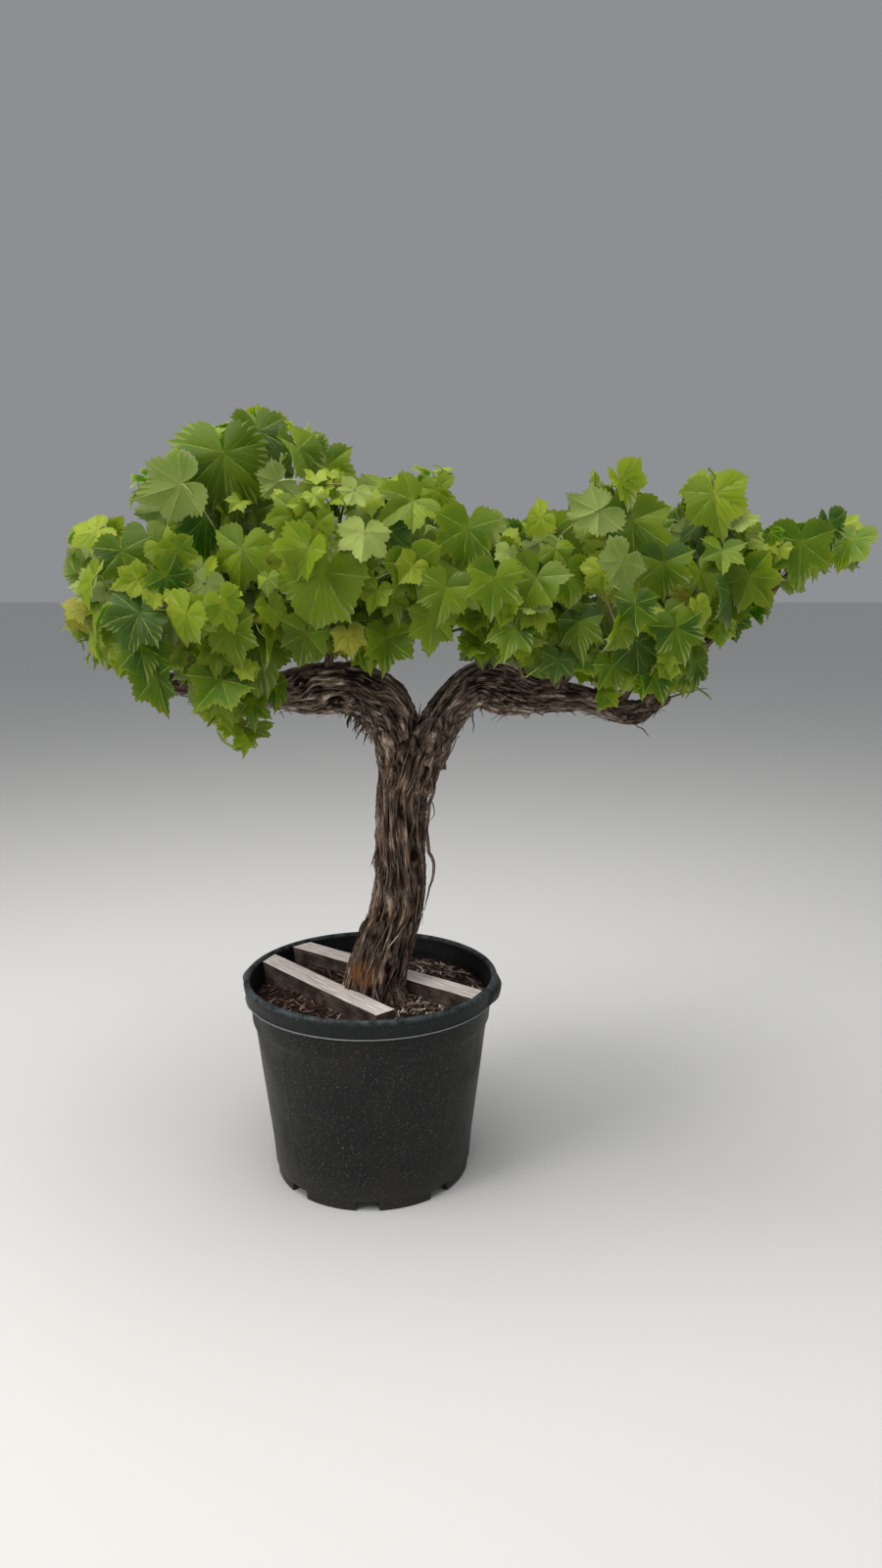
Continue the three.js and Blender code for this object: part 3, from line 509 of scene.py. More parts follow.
def ground_height(x, y):
    """The soil is level round the trunk, heaped at the right and lower by the wall."""
    distance = np.hypot(x, y)
    slope = smooth_step(distance, ground["level_radius"] - 40, ground["radius"])
    base = ground["level"] - 1 + (ground["wall"] - ground["level"]) * slope
    away = [(place - middle) / reach for place, middle, reach in zip((x, y), heap["middle"], heap["reach"])]
    heaped = heap["rise"] * np.exp(-(away[0] ** 2 + away[1] ** 2))
    places = np.stack([x / ground["wave"], y / ground["wave"], 0 * x], -1)
    return base + heaped + 2.2 * noise(places, 3) + 1.2 * noise(places * 3, 4)


def mulch_finishes():
    shades = {
        "mulch_dark": (0.028, 0.014, 0.009),
        "mulch_red": (0.115, 0.056, 0.037),
        "mulch_brown": (0.19, 0.118, 0.082),
        "mulch_grey": (0.34, 0.265, 0.212),
        "mulch_pale": (0.80, 0.70, 0.61),
    }
    materials = []
    for name, shade in shades.items():
        finish = Finish(name, shade, 0.9)
        finish.bump(finish.grain(0.0012, detail=2.0), 0.0006, 0.6)
        materials.append(finish.material)
    return materials


def ground_skin():
    """The uneven ground, with a skirt that goes down by the wall."""
    rings = np.linspace(0, ground["radius"], ground["rings"])
    turns = np.linspace(0, 2 * np.pi, ground["turns"], endpoint=False)
    x = rings[:, None] * np.cos(turns)
    y = rings[:, None] * np.sin(turns)
    top = np.stack([x, y, ground_height(x, y)], -1)
    points = np.concatenate([top, top[-1:] - (0, 0, ground["skirt"])])
    return points, skin_faces(1, len(points), len(turns))[:2]


def make_mulch():
    roll = np.random.default_rng(shreds["seed"])
    bundle = Bundle(mulch_finishes())
    bundle.add(*ground_skin())
    count = shreds["count"]
    radius = (ground["radius"] - 8) * np.sqrt(roll.uniform(0, 1, count))
    angle = roll.uniform(0, 2 * np.pi, count)
    middle = np.stack([radius * np.cos(angle), radius * np.sin(angle), 0 * radius], -1)
    heading = roll.uniform(0, 2 * np.pi, count)
    ahead = unit(np.stack([np.cos(heading), np.sin(heading), roll.normal(0, 0.12, count)], -1))
    length = shreds["longest"] * roll.beta(1.6, 3.2, count) + shreds["least"]
    share = np.linspace(-0.5, 0.5, 4)
    paths = middle[:, None] + ahead[:, None] * (share[None, :, None] * length[:, None, None])
    sideways = unit(np.cross((0, 0, 1), ahead))
    bend = roll.normal(0, shreds["bend"], count)
    paths = paths + sideways[:, None] * (bend[:, None] * (share ** 2 * 4))[..., None]
    reach = np.hypot(paths[..., 0], paths[..., 1])
    shrink = np.minimum(1, (ground["radius"] - 2) / reach)[..., None]
    paths[..., :2] *= shrink
    raised = roll.uniform(*shreds["raised"], count)[:, None]
    paths[..., 2] += ground_height(paths[..., 0], paths[..., 1]) + raised
    half = roll.uniform(*shreds["half"], count)[:, None] * shreds["taper"]
    wide = np.broadcast_to(sideways[:, None], paths.shape) * half[..., None]
    deep = np.cross(np.broadcast_to(ahead[:, None], paths.shape), wide) * shreds["flat"]
    points, faces = sweep(paths, wide, deep, 4, np.pi / 4)
    tone = roll.choice(len(shreds["tones"]), count, p=shreds["tones"])
    tone = np.where(middle[:, 0] < 0, np.maximum(tone - 1, 0), tone)  # the left side is darker
    bundle.add_toned(points, faces, [np.repeat(tone, len(group) // count) for group in faces])
    bundle.make("mulch", ["soil"], smooth=False)


make_mulch()

# %% Battens
batten = {"width": 54, "top": 482, "foot": 430, "edge": 1.6, "step": 5}
boards = {
    "batten_front": {"through": (-106.5, -63), "angle": -48.4, "start": -300, "end": 229},
    "batten_back": {"through": (26, 41.5), "angle": -37.6, "start": -320, "end": 320},
}
inner_wall = ([430, 443, 488], [274.5, 276, 282])  # heights and radii of the container's inside


def board_section():
    """Places round the section, as (across, up), with small round edges on top."""
    half = batten["width"] / 2
    edge = batten["edge"]
    top = batten["top"]
    across = np.linspace(-half + edge, half - edge, 26)
    rise = np.linspace(batten["foot"], top - edge, 14)
    right = [(half, z) for z in rise]
    upper = [(x, top) for x in across[::-1]]
    left = [(-half, z) for z in rise[::-1]]
    corner = edge * 0.3
    corners = [(side * (half - corner), top - corner) for side in (1, -1)]
    return np.array([*right, corners[0], *upper, corners[1], *left])


def reach_to_wall(through, along, across, z):
    """How far a line at height z runs each way before it meets the container's inside."""
    room = np.interp(z, *inner_wall)
    side = np.array([-along[1], along[0]])
    foot = np.array(through)[None, :] + across[:, None] * side
    middle = foot @ along
    away = np.sqrt(np.maximum(room ** 2 - (foot ** 2).sum(-1) + middle ** 2, 0))
    return -middle - away, -middle + away


def wood_finish():
    """Weathered sawn timber, with a pale top that is painted light and dark sides that are painted shade.
    Two attributes tell the shader how far along and across a point lies.
    """
    finish = Finish("sawn_timber", roughness=0.85)
    along = finish.attribute("along")
    across = finish.attribute("across")
    where = finish.add("ShaderNodeCombineXYZ", {}, {0: along * 0.035, 1: across})
    lines = finish.grain(0.0028, where, detail=4.0, rough=0.65)
    stains = finish.grain(0.05, detail=3.0)
    upward = finish.rise(finish.add("ShaderNodeNewGeometry", {}, {}, output="Normal"))
    # Painted light and shade: faces that look up take the pale top colour, the sides a far darker one.
    lit_top_share = finish.ramp(upward, 0.45, 0.8)
    streaks = finish.ramp(lines, 0.36, 0.62)
    top = finish.blend(streaks, (0.54, 0.45, 0.40), (1.0, 0.92, 0.86))
    top = finish.blend(finish.ramp(stains, 0.5, 0.75) * 0.3, top, (0.52, 0.41, 0.34))
    side = finish.blend(streaks, (0.045, 0.031, 0.024), (0.17, 0.127, 0.102))
    side = finish.blend(finish.ramp(stains, 0.35, 0.6), (0.04, 0.028, 0.022), side)
    finish.feed("Base Color", finish.blend(lit_top_share, side, top))
    finish.feed("Roughness", streaks * -0.1 + 0.92)
    finish.bump(lines, 0.0012, 0.7)
    return finish.material


def make_batten(name, place, material, seed):
    """A board cut to the wall, with grain and saw marks pressed into its faces."""
    direction = np.radians(place["angle"])
    along = np.array([np.cos(direction), np.sin(direction)])
    side = np.array([-along[1], along[0]])
    section = board_section()
    low, high = reach_to_wall(place["through"], along, section[:, 0], section[:, 1])
    low = np.maximum(low, place["start"])
    high = np.minimum(high, place["end"])
    stations = int((high.mean() - low.mean()) / batten["step"])
    share = np.linspace(0, 1, stations)[:, None]
    run = low + (high - low) * share
    across = np.broadcast_to(section[:, 0], run.shape)
    rise = np.broadcast_to(section[:, 1], run.shape)
    grain_place = np.stack([across / 2.4, rise / 2.4, run / 90], -1)
    saw_place = np.stack([across / 30, rise / 12, run / 3.2], -1)
    depth = 0.45 * noise(grain_place, seed) - 0.35 * abs(noise(grain_place * (0.6, 0.6, 0.5), seed + 1))
    depth = depth + 0.22 * noise(saw_place, seed + 2) * (rise < batten["top"] - 1)
    depth = depth + 1.0 * noise(np.stack([across / 40, rise / 40, run / 60], -1), seed + 3)
    on_side = abs(section[:, 0]) == batten["width"] / 2
    across = across + depth * np.where(on_side, np.sign(across), 0)
    rise = rise + depth * np.where(on_side, 0, 1)
    flat_place = np.array(place["through"]) + run[..., None] * along + across[..., None] * side
    points = np.concatenate([flat_place, rise[..., None]], -1)
    bundle = Bundle([material])
    bundle.add(points, [group[:, ::-1] for group in skin_faces(1, stations, len(section))])
    board = bundle.make(name + "_timber", [name], smooth=False)
    for label, values in (("along", run), ("across", across + rise)):
        board.data.attributes.new(label, "FLOAT", "POINT").data.foreach_set("value", (values * MM).ravel())


timber = wood_finish()
for number, (name, place) in enumerate(boards.items()):
    make_batten(name, place, timber, 40 + 10 * number)

# %% [markdown]
# ## The old wood
# Vine bark is a bundle of long loose fibres. A bump map can't break the outline of a limb, so the relief
# is cut into the mesh: a fine grid round the same course as the solid, pushed in and out by noise that is
# drawn out along the limb. Loose strips are ribbons that leave the surface towards one end.

# %% Courses of the limbs
# Each station has a place, a half width across the front view and a half depth as a share of it.
trunk_stations = [
    (11, -62, 424, 92, 1.0), (10, -61, 455, 73, 1.0), (9, -58, 486, 65, 1.0), (33, -48, 565, 61, 1.0),
    (56, -40, 632, 57, 1.0), (74, -31, 720, 54, 1.02), (73, -24, 800, 53, 1.04), (75, -18, 870, 53, 1.06),
    (78, -12, 922, 55, 1.04), (90, -8, 973, 65, 0.96), (96, -6, 1013, 73, 0.84), (104, -4, 1042, 86, 0.72),
    (108, -4, 1072, 92, 0.66),
]
left_stations = [
    (72, -4, 1000, 48, 1.1), (64, -4, 1045, 49, 1.12), (42, -4, 1115, 59, 0.98), (-10, -5, 1156, 57, 0.98),
    (-60, -7, 1167, 55, 0.98), (-122, -9, 1163, 54, 0.96), (-172, -11, 1160, 45, 0.96),
    (-215, -13, 1160, 34, 1.0), (-320, -17, 1164, 28, 1.0), (-455, -20, 1178, 19, 1.0),
]
right_stations = [
    (122, -2, 1000, 48, 1.1), (142, -2, 1045, 47, 1.12), (176, -1, 1104, 43, 1.04), (212, 0, 1146, 42, 1.06),
    (256, 1, 1172, 48, 1.02), (302, 2, 1161, 54, 0.98), (350, 3, 1151, 44, 1.0), (415, 5, 1145, 33, 1.0),
    (480, 7, 1139, 28, 1.0), (548, 9, 1120, 24, 1.0), (606, 10, 1106, 27, 1.06), (650, 11, 1127, 16, 1.0),
    (690, 12, 1142, 9, 1.0),
]


def knotted(places, share):
    """A point of the smooth line through places: a centripetal Catmull-Rom curve."""
    spot = min(share * (len(places) - 1), len(places) - 1 - 1e-9)
    i = int(spot)
    t = spot - i
    b, c = places[i], places[i + 1]
    a = places[i - 1] if i > 0 else 2 * b - c
    d = places[i + 2] if i + 2 < len(places) else 2 * c - b
    before, along, after = [np.sqrt(norm(q - p)) for p, q in ((a, b), (b, c), (c, d))]
    leave = (b - a) / before - (c - a) / (before + along) + (c - b) / along
    arrive = (c - b) / along - (d - b) / (along + after) + (d - c) / after
    leave, arrive = leave * along, arrive * along
    bend = -3 * b + 3 * c - 2 * leave - arrive
    rest = 2 * b - 2 * c + leave + arrive
    return b + t * (leave + t * (bend + t * rest))


class Course:
    """A smooth line through stations, with a half width and half depth all along it."""

    steps = 400
    near = 0.004  # share of the length over which the heading is taken

    def __init__(self, stations):
        rows = np.array(stations, float)
        self.sizes = rows[:, 3:]
        self.line = np.array([knotted(rows[:, :3], i / self.steps) for i in range(self.steps + 1)])
        lengths = np.concatenate([[0], np.cumsum(norm(np.diff(self.line, axis=0), axis=1))])
        self.length = lengths[-1]
        self.shares = lengths / self.length
        marks = np.round(np.linspace(0, self.steps, len(rows))).astype(int)
        self.marks = self.shares[marks]

    def at(self, share):
        return np.stack([np.interp(share, self.shares, self.line[:, k]) for k in range(3)], -1)

    def ahead(self, share):
        return unit(self.at(np.minimum(share + self.near, 1)) - self.at(np.maximum(share - self.near, 0)))

    def radius(self, share):
        return np.interp(share, self.marks, self.sizes[:, 0])

    def depth(self, share):
        return np.interp(share, self.marks, self.sizes[:, 1])


courses = {"trunk": Course(trunk_stations), "left": Course(left_stations), "right": Course(right_stations)}
for name, course in courses.items():
    print(name, "is", round(course.length), "mm long")

# %% Masses of leaves and their boughs
# Each mass grows from an arm, at a share of its length, and has some leaves and tips that it has to reach.
mass_rows = [
    ("far_left", (-525, -20, 1370), (175, 270, 212), "left", None, 27,
     [(-600, 10, 1500), (-630, -60, 1290)]),
    ("left_top", (-300, 10, 1590), (275, 250, 212), "left", 0.74, 32,
     [(-490, -10, 1600), (-225, -10, 1725), (-110, 30, 1700), (-350, 30, 1705)]),
    ("left_front", (-330, -190, 1315), (232, 200, 210), "left", 0.68, 26, []),
    ("left_back", (-250, 210, 1375), (265, 205, 220), "left", 0.86, 24, []),
    ("left_low", (-300, -118, 1105), (125, 105, 115), "left", 0.8, 9, [(-275, -130, 1050)]),
    ("middle_left", (-60, -155, 1425), (245, 215, 245), "left", 0.42, 30, [(-30, -60, 1620)]),
    ("middle_back", (115, 150, 1450), (235, 225, 260), "left", 0.34, 29,
     [(90, 60, 1620), (170, 120, 1620)]),
    ("middle_right", (265, -155, 1370), (225, 205, 240), "right", 0.34, 27, [(360, -110, 1480)]),
    ("right_middle", (435, 140, 1370), (215, 210, 225), "right", 0.46, 24, []),
    ("right_front", (580, -145, 1385), (210, 210, 268), "right", 0.58, 31,
     [(495, -70, 1580), (590, -60, 1580)]),
    ("right_back", (690, 185, 1370), (190, 195, 235), "right", 0.72, 20, []),
    ("right_low", (695, -20, 1225), (150, 190, 145), "right", 0.89, 13, []),
    ("far_right_top", (790, -10, 1480), (165, 215, 205), "right", 0.8, 22,
     [(755, -30, 1600), (850, 0, 1540)]),
    ("far_right", (975, 0, 1460), (155, 160, 150), "right", 0.95, 14,
     [(1040, 20, 1500), (1050, -20, 1430)]),
]
mass_keys = ("name", "centre", "reach", "arm", "along", "leaves", "tips")
masses = [dict(zip(mass_keys, row)) for row in mass_rows]
bough = {"least_length": 45, "start": 16, "end": 8, "slim": 0.02, "most_slim": 4, "arch": 0.08,
         "inside_by": 8}
clear_of_neighbour = 1.5


def dividing_planes(mass):
    """Where a mass's space meets the next one's, as directions and limits."""
    planes = []
    centre = np.array(mass["centre"], float)
    for other in masses:
        if other is mass:
            continue
        towards = np.array(other["centre"]) - centre
        distance = norm(towards)
        towards = towards / distance
        mine = norm(towards * mass["reach"])
        theirs = norm(towards * other["reach"])
        if mine + theirs > distance:
            limit = distance * mine / (mine + theirs) - clear_of_neighbour
            planes.append((*towards, towards @ centre + limit))
    return np.array(planes)


def in_egg(mass, points, margin=0.0):
    """Which points lie in a mass's egg, by more than the margin."""
    away = (np.asarray(points) - mass["centre"]) / (np.array(mass["reach"]) - margin)
    return (away ** 2).sum(-1) < 1


def inside_space(mass, points, margin=0.0):
    """Which points lie in a mass's own space, between the planes to its neighbours."""
    planes = mass["planes"]
    beyond = np.asarray(points) @ planes[:, :3].T - planes[:, 3]
    return in_egg(mass, points, margin) & (beyond < -margin).all(-1)


def bough_course(mass):
    """A bough leaves the arm, arches towards its mass and ends just inside the mass's space."""
    arm = courses[mass["arm"]]
    start = arm.at(mass["along"])
    ahead = unit(np.array(mass["centre"]) - start)
    end = start + ahead * (arm.radius(mass["along"]) + bough["least_length"])
    while not inside_space(mass, end, bough["inside_by"]):
        end = end + ahead
    reach = norm(end - start)
    middle = (start + end) / 2 + (0, 0, reach * bough["arch"])
    thick = bough["start"] - min(bough["most_slim"], reach * bough["slim"])
    thin = bough["end"]
    return Course([(*start, thick, 1), (*middle, (thick + thin) / 2, 1), (*end, thin, 1)])


for mass in masses:
    mass["planes"] = dividing_planes(mass)
for mass in masses:
    mass["limb"] = courses[mass["arm"]] if mass["along"] is None else bough_course(mass)
print("boughs:", sum(mass["along"] is not None for mass in masses))

# %% Bark relief
# Steps of the grid over a limb, and how far each layer of the relief stands out.
bark = {"across": 2.4, "along": 4.0, "plate": 2.8, "strip": 3.7, "fibre": 1.5, "lump": 4.0}
# How wide and how long the waves of each layer are.
bark_waves = {"wander": (36, 70), "plate": (9.5, 90), "strip": (6.4, 60), "fibre": (3.6, 28)}
strip_rest = 2.2  # how far a strip lies off the bare limb at its root
flow_squeeze = 12  # the shader's fibres are this many times as long as wide
knot_form = {"stretch": 1.7, "swirl": 0.8, "rise": 0.34, "rings": 5.5}
# Knots: distance along the limb, turn round it and size.
knots = {
    "trunk": [(512, -0.57, 15), (362, -0.85, 19), (240, -2.0, 14), (570, -1.9, 16), (120, -1.2, 15)],
    "left": [(90, -2.0, 15), (175, -1.0, 17), (245, -2.1, 19), (320, -1.2, 15), (395, -1.9, 13)],
    "right": [(72, -1.6, 19), (150, -1.0, 15), (225, -2.0, 18), (300, -1.1, 14), (470, -1.9, 12),
              (560, -1.3, 13)],
}


def bark_relief(distance, turn, radius, seed, lumps, drawn, limb):
    """How far the bark stands out: plates with steep edges, strips and fibres along the limb."""
    swollen = 0.0
    for along, at, size in knots.get(limb, []):
        side = ((turn - at + np.pi) % (2 * np.pi) - np.pi) * radius
        away = np.hypot(side, (distance - along) / knot_form["stretch"])
        near = np.exp(-((away / size) ** 2))
        turn = turn - knot_form["swirl"] * near * side / radius
        swollen = swollen + knot_form["rise"] * size * near * np.cos(knot_form["rings"] * away / size)
    turn = turn + 0.0022 * distance
    around = np.stack([np.cos(turn) * radius, np.sin(turn) * radius, distance], -1)

    def layer(name, number):
        wide, long = bark_waves[name]
        return noise(around / (wide, wide, long * drawn), seed + number)

    around[..., :2] += 9 * layer("wander", 0)[..., None]
    plates = np.tanh(3.2 * layer("plate", 1))
    strips = 1 - 2.2 * abs(layer("strip", 2))
    fibres = layer("fibre", 3)
    burls = noise(around / (34, 34, 46), seed + 4) + 0.5 * noise(around / (15, 15, 22), seed + 5)
    size = np.clip(radius / 45, 0.35, 1.1)
    fine = bark["plate"] * plates + bark["strip"] * strips + bark["fibre"] * fibres
    flow = around / (1, 1, flow_squeeze * drawn)
    return size * (fine + lumps * bark["lump"] * burls + swollen), size * (fine + 0.5 * swollen), flow


def limb_axes(course, share):
    """Two directions across the limb: wide in the front view, and deep."""
    ahead = course.ahead(share)
    deep = unit(np.array([0, 1, 0]) - ahead * ahead[..., 1:2])
    return unit(np.cross(deep, ahead)), deep


def surface_at(course, share, turn):
    """A point on the bare limb, with the way out of it."""
    wide, deep = limb_axes(course, share)
    radius = course.radius(share)[..., None]
    depth = course.depth(share)[..., None]
    out = wide * np.cos(turn)[..., None] + deep * depth * np.sin(turn)[..., None]
    return course.at(share) + out * radius, unit(out)


def bark_skin(course, seed, lumps=1.0, round_end=0.0, drawn=1.0, limb=None):
    """A limb's points, ring by ring, with the relief at each."""
    widest = course.sizes[:, 0].max()
    sides = int(max(22, 2 * np.pi * widest / bark["across"]))
    stations = int(course.length / bark["along"])
    share = np.broadcast_to(np.linspace(0, 1, stations)[:, None], (stations, sides))
    turn = np.broadcast_to(2 * np.pi * np.arange(sides) / sides, share.shape)
    point, out = surface_at(course, share, turn)
    radius = course.radius(share)
    height, fine, flow = bark_relief(share * course.length, turn, radius, seed, lumps, drawn, limb)
    ridges = 0.6 * np.cos(3 * turn + 0.008 * share * course.length)
    ridges = ridges + 0.4 * np.cos(5 * turn - 0.013 * share * course.length + 1)
    point = point + out * (height + 0.05 * radius * ridges)[..., None]
    if round_end:
        left = (1 - share) * course.length
        closing = np.sqrt(np.clip(1 - (1 - np.clip(left / round_end, 0, 1)) ** 2, 0.0004, 1))
        middle = course.at(share)
        point = middle + (point - middle) * closing[..., None]
    return point, skin_faces(1, stations, sides), (fine, flow + (0, 0, seed * 31))


def bark_finish(name, light, dark, warm):
    """Grey-brown on the ridges and nearly black in the furrows, partly the bark's own darker furrows and
    partly painted shade, with warmer strips, and a painted highlight that makes the highest ridges and
    strips paler.
    """
    finish = Finish(name, roughness=0.92)
    relief = finish.attribute("relief")
    flow = finish.attribute("flow", "Vector")
    strands = finish.grain(0.0048, flow, detail=3.0, rough=0.7)
    fibres = finish.grain(0.0022, flow, detail=2.0, rough=0.7)
    patches = finish.grain(0.045, detail=3.0)
    tone = relief * 0.62 + (strands - 0.5) * 0.019 + (fibres - 0.5) * 0.008
    height = finish.ramp(tone, -0.0028, 0.0042)
    # The furrows' near black is partly the bark's own darker furrows and partly painted shade.
    colour = finish.blend(height, dark, light)
    colour = finish.blend(finish.ramp(patches, 0.5, 0.7) * height * 0.6, colour, warm)
    # Painted highlight: the highest ridges and strips turn pale.
    pale = finish.ramp(tone, 0.0030, 0.0062)
    colour = finish.blend(pale * 0.8, colour, [min(0.75, 3.5 * value) for value in light])
    crust = finish.ramp(finish.grain(0.007, detail=2.0), 0.58, 0.66)
    crust = crust * finish.ramp(finish.grain(0.06), 0.48, 0.6)
    colour = finish.blend(crust * height * 0.7, colour, (0.36, 0.33, 0.30))
    finish.feed("Base Color", colour)
    finish.feed("Roughness", 0.95 - height * 0.12)
    finish.bump(strands + fibres * 0.4, 0.004, 0.8)
    return finish


# The light, dark and warm tones of the bark; the dark ones are nearly black as painted shade in the furrows.
# The arms' copy is a little greyer, and paler as painted light that makes up for the crown's shade on them.
trunk_tones = (0.140, 0.096, 0.069), (0.010, 0.005, 0.003), (0.150, 0.078, 0.044)
lit_arm_tones = (0.245, 0.178, 0.137), (0.018, 0.010, 0.006), (0.25, 0.150, 0.100)
lit_old_bark = bark_finish("lit_old_bark", *lit_arm_tones).material
# Where a strip came off, in metres.
foot_patch = {"centre": (-0.010, -0.096, 0.518), "reach": (0.034, 0.045, 0.042),
              "colour": (0.30, 0.112, 0.036)}


def foot_bark():
    """The trunk's own bark, with an orange patch where a strip came off low on the left."""
    finish = bark_finish("trunk_bark", *trunk_tones)
    under = Wire(finish, finish.shader.inputs["Base Color"].links[0].from_socket)
    away = finish.vectors("SUBTRACT", finish.place(), foot_patch["centre"])
    away = finish.vectors("MULTIPLY", away, tuple(1 / reach for reach in foot_patch["reach"]))
    distance = finish.vectors("LENGTH", away, output="Value")
    ragged = distance + (finish.grain(0.012, finish.place((1, 1, 0.3))) - 0.5) * 1.1
    relief = finish.attribute("relief")
    flow = finish.attribute("flow", "Vector")
    threads = finish.ramp(finish.grain(0.0042, flow, detail=3.0, rough=0.7), 0.4, 0.56)
    patch = (1 - finish.ramp(ragged, 0.55, 1.05)) * finish.ramp(relief, -0.0045, 0.0015)
    patch = patch * (threads * 0.75 + 0.25)
    finish.feed("Base Color", finish.blend(patch * 0.85, under, foot_patch["colour"]))
    return finish.material


def make_wood(name, material, skins, nodes=()):
    """Joins skins into one piece that carries each point's relief and place among the fibres."""
    bundle = Bundle([material])
    for points, faces, marks in skins:
        bundle.add(points, faces)
    piece = bundle.make(name, nodes)
    relief = np.concatenate([fine.ravel() for points, faces, (fine, flow) in skins]) * MM
    flow = np.concatenate([flow.ravel() for points, faces, (fine, flow) in skins]) * MM
    attributes = piece.data.attributes
    attributes.new("relief", "FLOAT", "POINT").data.foreach_set("value", relief.astype(np.float32))
    attributes.new("flow", "FLOAT_VECTOR", "POINT").data.foreach_set("vector", flow.astype(np.float32))


arm_nodes = {"left": ["left_neck", "left_arm"], "right": ["right_neck", "right_arm", "right_arm_end"]}
arm_seeds = {"left": 31, "right": 61}
make_wood("trunk_wood", foot_bark(), [bark_skin(courses["trunk"], 11, 0.45, 55, 0.9, "trunk")], ["trunk"])
for side, nodes in arm_nodes.items():
    skins = [bark_skin(courses[side], arm_seeds[side], 1.2, 20, 0.6, side)]
    for number, mass in enumerate(masses):
        if mass["along"] is not None and mass["arm"] == side:
            skins.append(bark_skin(mass["limb"], arm_seeds[side] + 7 * number, 0.3, round_end=9))
            nodes = nodes + ["bough_" + mass["name"]]
    make_wood(side + "_wood", lit_old_bark, skins, nodes)


# %% Loose strips of bark
def strip_flow(count, stations, sides, width, length, roll):
    """Fibres along each strip, from a place of their own in the noise."""
    across = np.broadcast_to(np.arange(sides) * width / sides, (count, stations, sides))
    along = np.broadcast_to(np.linspace(0, 1, stations)[:, None], across.shape)
    along = along * np.broadcast_to(length, count)[:, None, None] / flow_squeeze
    start = roll.uniform(0, 900, (count, 1, 1, 3))
    return np.stack([across, 0 * across, along], -1) + start


def ribbons(course, count, roll, longest, lift, width, low, high, first_turn=0.0, last_turn=2 * np.pi):
    """Strips that follow the limb, rooted at one end and lifting and sagging towards the other."""
    stations = 9
    t = np.linspace(0, 1, stations)
    length = longest * (0.3 + 0.7 * roll.beta(1.4, 2.2, count))
    start = roll.uniform(low, high, count)
    heading = np.where(roll.uniform(0, 1, count) < 0.5, -1, 1)
    share = start[:, None] + heading[:, None] * t * (length / course.length)[:, None]
    share = np.clip(share, 0.004, 0.996)
    turn = roll.uniform(first_turn, last_turn, count)[:, None] + roll.normal(0, 0.2, count)[:, None] * t
    point, out = surface_at(course, share, turn)
    raised = lift * roll.beta(1.0, 3.0, count)
    raised = strip_rest + raised[:, None] * t ** 2.2
    paths = point + out * raised[..., None]
    paths[..., 2] -= (raised - strip_rest) * 0.7 * t
    ahead = unit(np.gradient(paths, axis=1))
    across = unit(np.cross(ahead, out))
    curl = roll.normal(0, 0.7, count)[:, None] * t
    across = unit(across + out * curl[..., None])
    taper = np.sin(np.pi * (0.12 + 0.86 * t)) ** 0.6
    half = width * (0.35 + 0.65 * roll.uniform(0, 1, count))[:, None] * taper
    wide = across * half[..., None]
    deep = np.cross(ahead, across) * 0.55
    fine = np.broadcast_to(roll.uniform(-3, 5, count)[:, None, None], (count, stations, 4))
    points, faces = sweep(paths, wide, deep, 4, np.pi / 4)
    return points, faces, (fine, strip_flow(count, stations, 4, 6, length, roll))


# Each row: limb, count, longest, lift, width and the shares of the limb between which strips start, and
# the turns between which they lie where that isn't all round. The later rows are where it is shaggiest.
strip_rows = [
    ("trunk", 250, 150, 13, 3.8, 0.06, 0.94), ("trunk", 40, 60, 12, 1.2, 0.1, 0.95),
    ("left", 210, 80, 15, 3.6, 0.12, 0.98), ("trunk", 46, 70, 16, 1.1, 0.0, 0.07, -1.3, 0.4),
    ("left", 100, 46, 34, 5.4, 0.13, 0.36, 2.4, 4.5), ("left", 40, 40, 20, 3.6, 0.5, 0.9, 2.5, 4.5),
    ("right", 230, 80, 14, 3.4, 0.12, 0.97), ("right", 16, 30, 10, 1.2, 0.12, 0.97),
    ("right", 50, 45, 22, 3.4, 0.2, 0.6, -1.0, 1.0),
]
strip_roll = np.random.default_rng(5)
skins = [ribbons(courses[limb], count, strip_roll, *numbers) for limb, count, *numbers in strip_rows]
make_wood("bark_strips", lit_old_bark, skins)

# %% Strands that hang by themselves
# The long strip at the trunk's right, tufts at the left and below, and the arm's dead twigs, each as
# places and a half width.
strand_rows = [
    ([(146, -52, 968), (150, -60, 940), (141, -62, 915), (137, -62, 880), (133, -60, 845),
      (139, -58, 800), (150, -58, 765), (146, -58, 735), (137, -55, 700), (128, -50, 655)], 4.4),
    ([(130, -58, 945), (139, -63, 925), (149, -60, 905), (151, -58, 885), (140, -60, 868)], 1.6),
    ([(26, -40, 830), (18, -46, 800), (10, -48, 770), (15, -47, 745)], 1.8),
    ([(24, -42, 800), (12, -50, 778), (3, -52, 758)], 1.2),
    ([(-2, -60, 640), (-16, -70, 628), (-24, -74, 600), (-33, -78, 578)], 1.9),
    ([(0, -66, 652), (-14, -74, 618), (-20, -78, 606)], 1.4),
    ([(-34, -40, 1112), (-41, -46, 1094), (-42, -48, 1078)], 3.4),
    ([(-18, -42, 1104), (-26, -50, 1082), (-25, -50, 1066)], 3.0),
    ([(-2, -45, 1092), (-8, -52, 1074), (-6, -52, 1064)], 2.4),
    ([(112, -20, 1085), (118, -24, 1112), (121, -26, 1134)], 1.6),
    ([(600, 5, 1098), (610, 0, 1080), (628, -4, 1068), (640, -6, 1052)], 1.8),
    ([(662, 12, 1128), (700, 8, 1146), (742, 4, 1158), (768, 2, 1162)], 2.4),
    ([(236, 0, 1112), (240, -8, 1080), (237, -10, 1060)], 1.6),
]
strand_roll = np.random.default_rng(6)


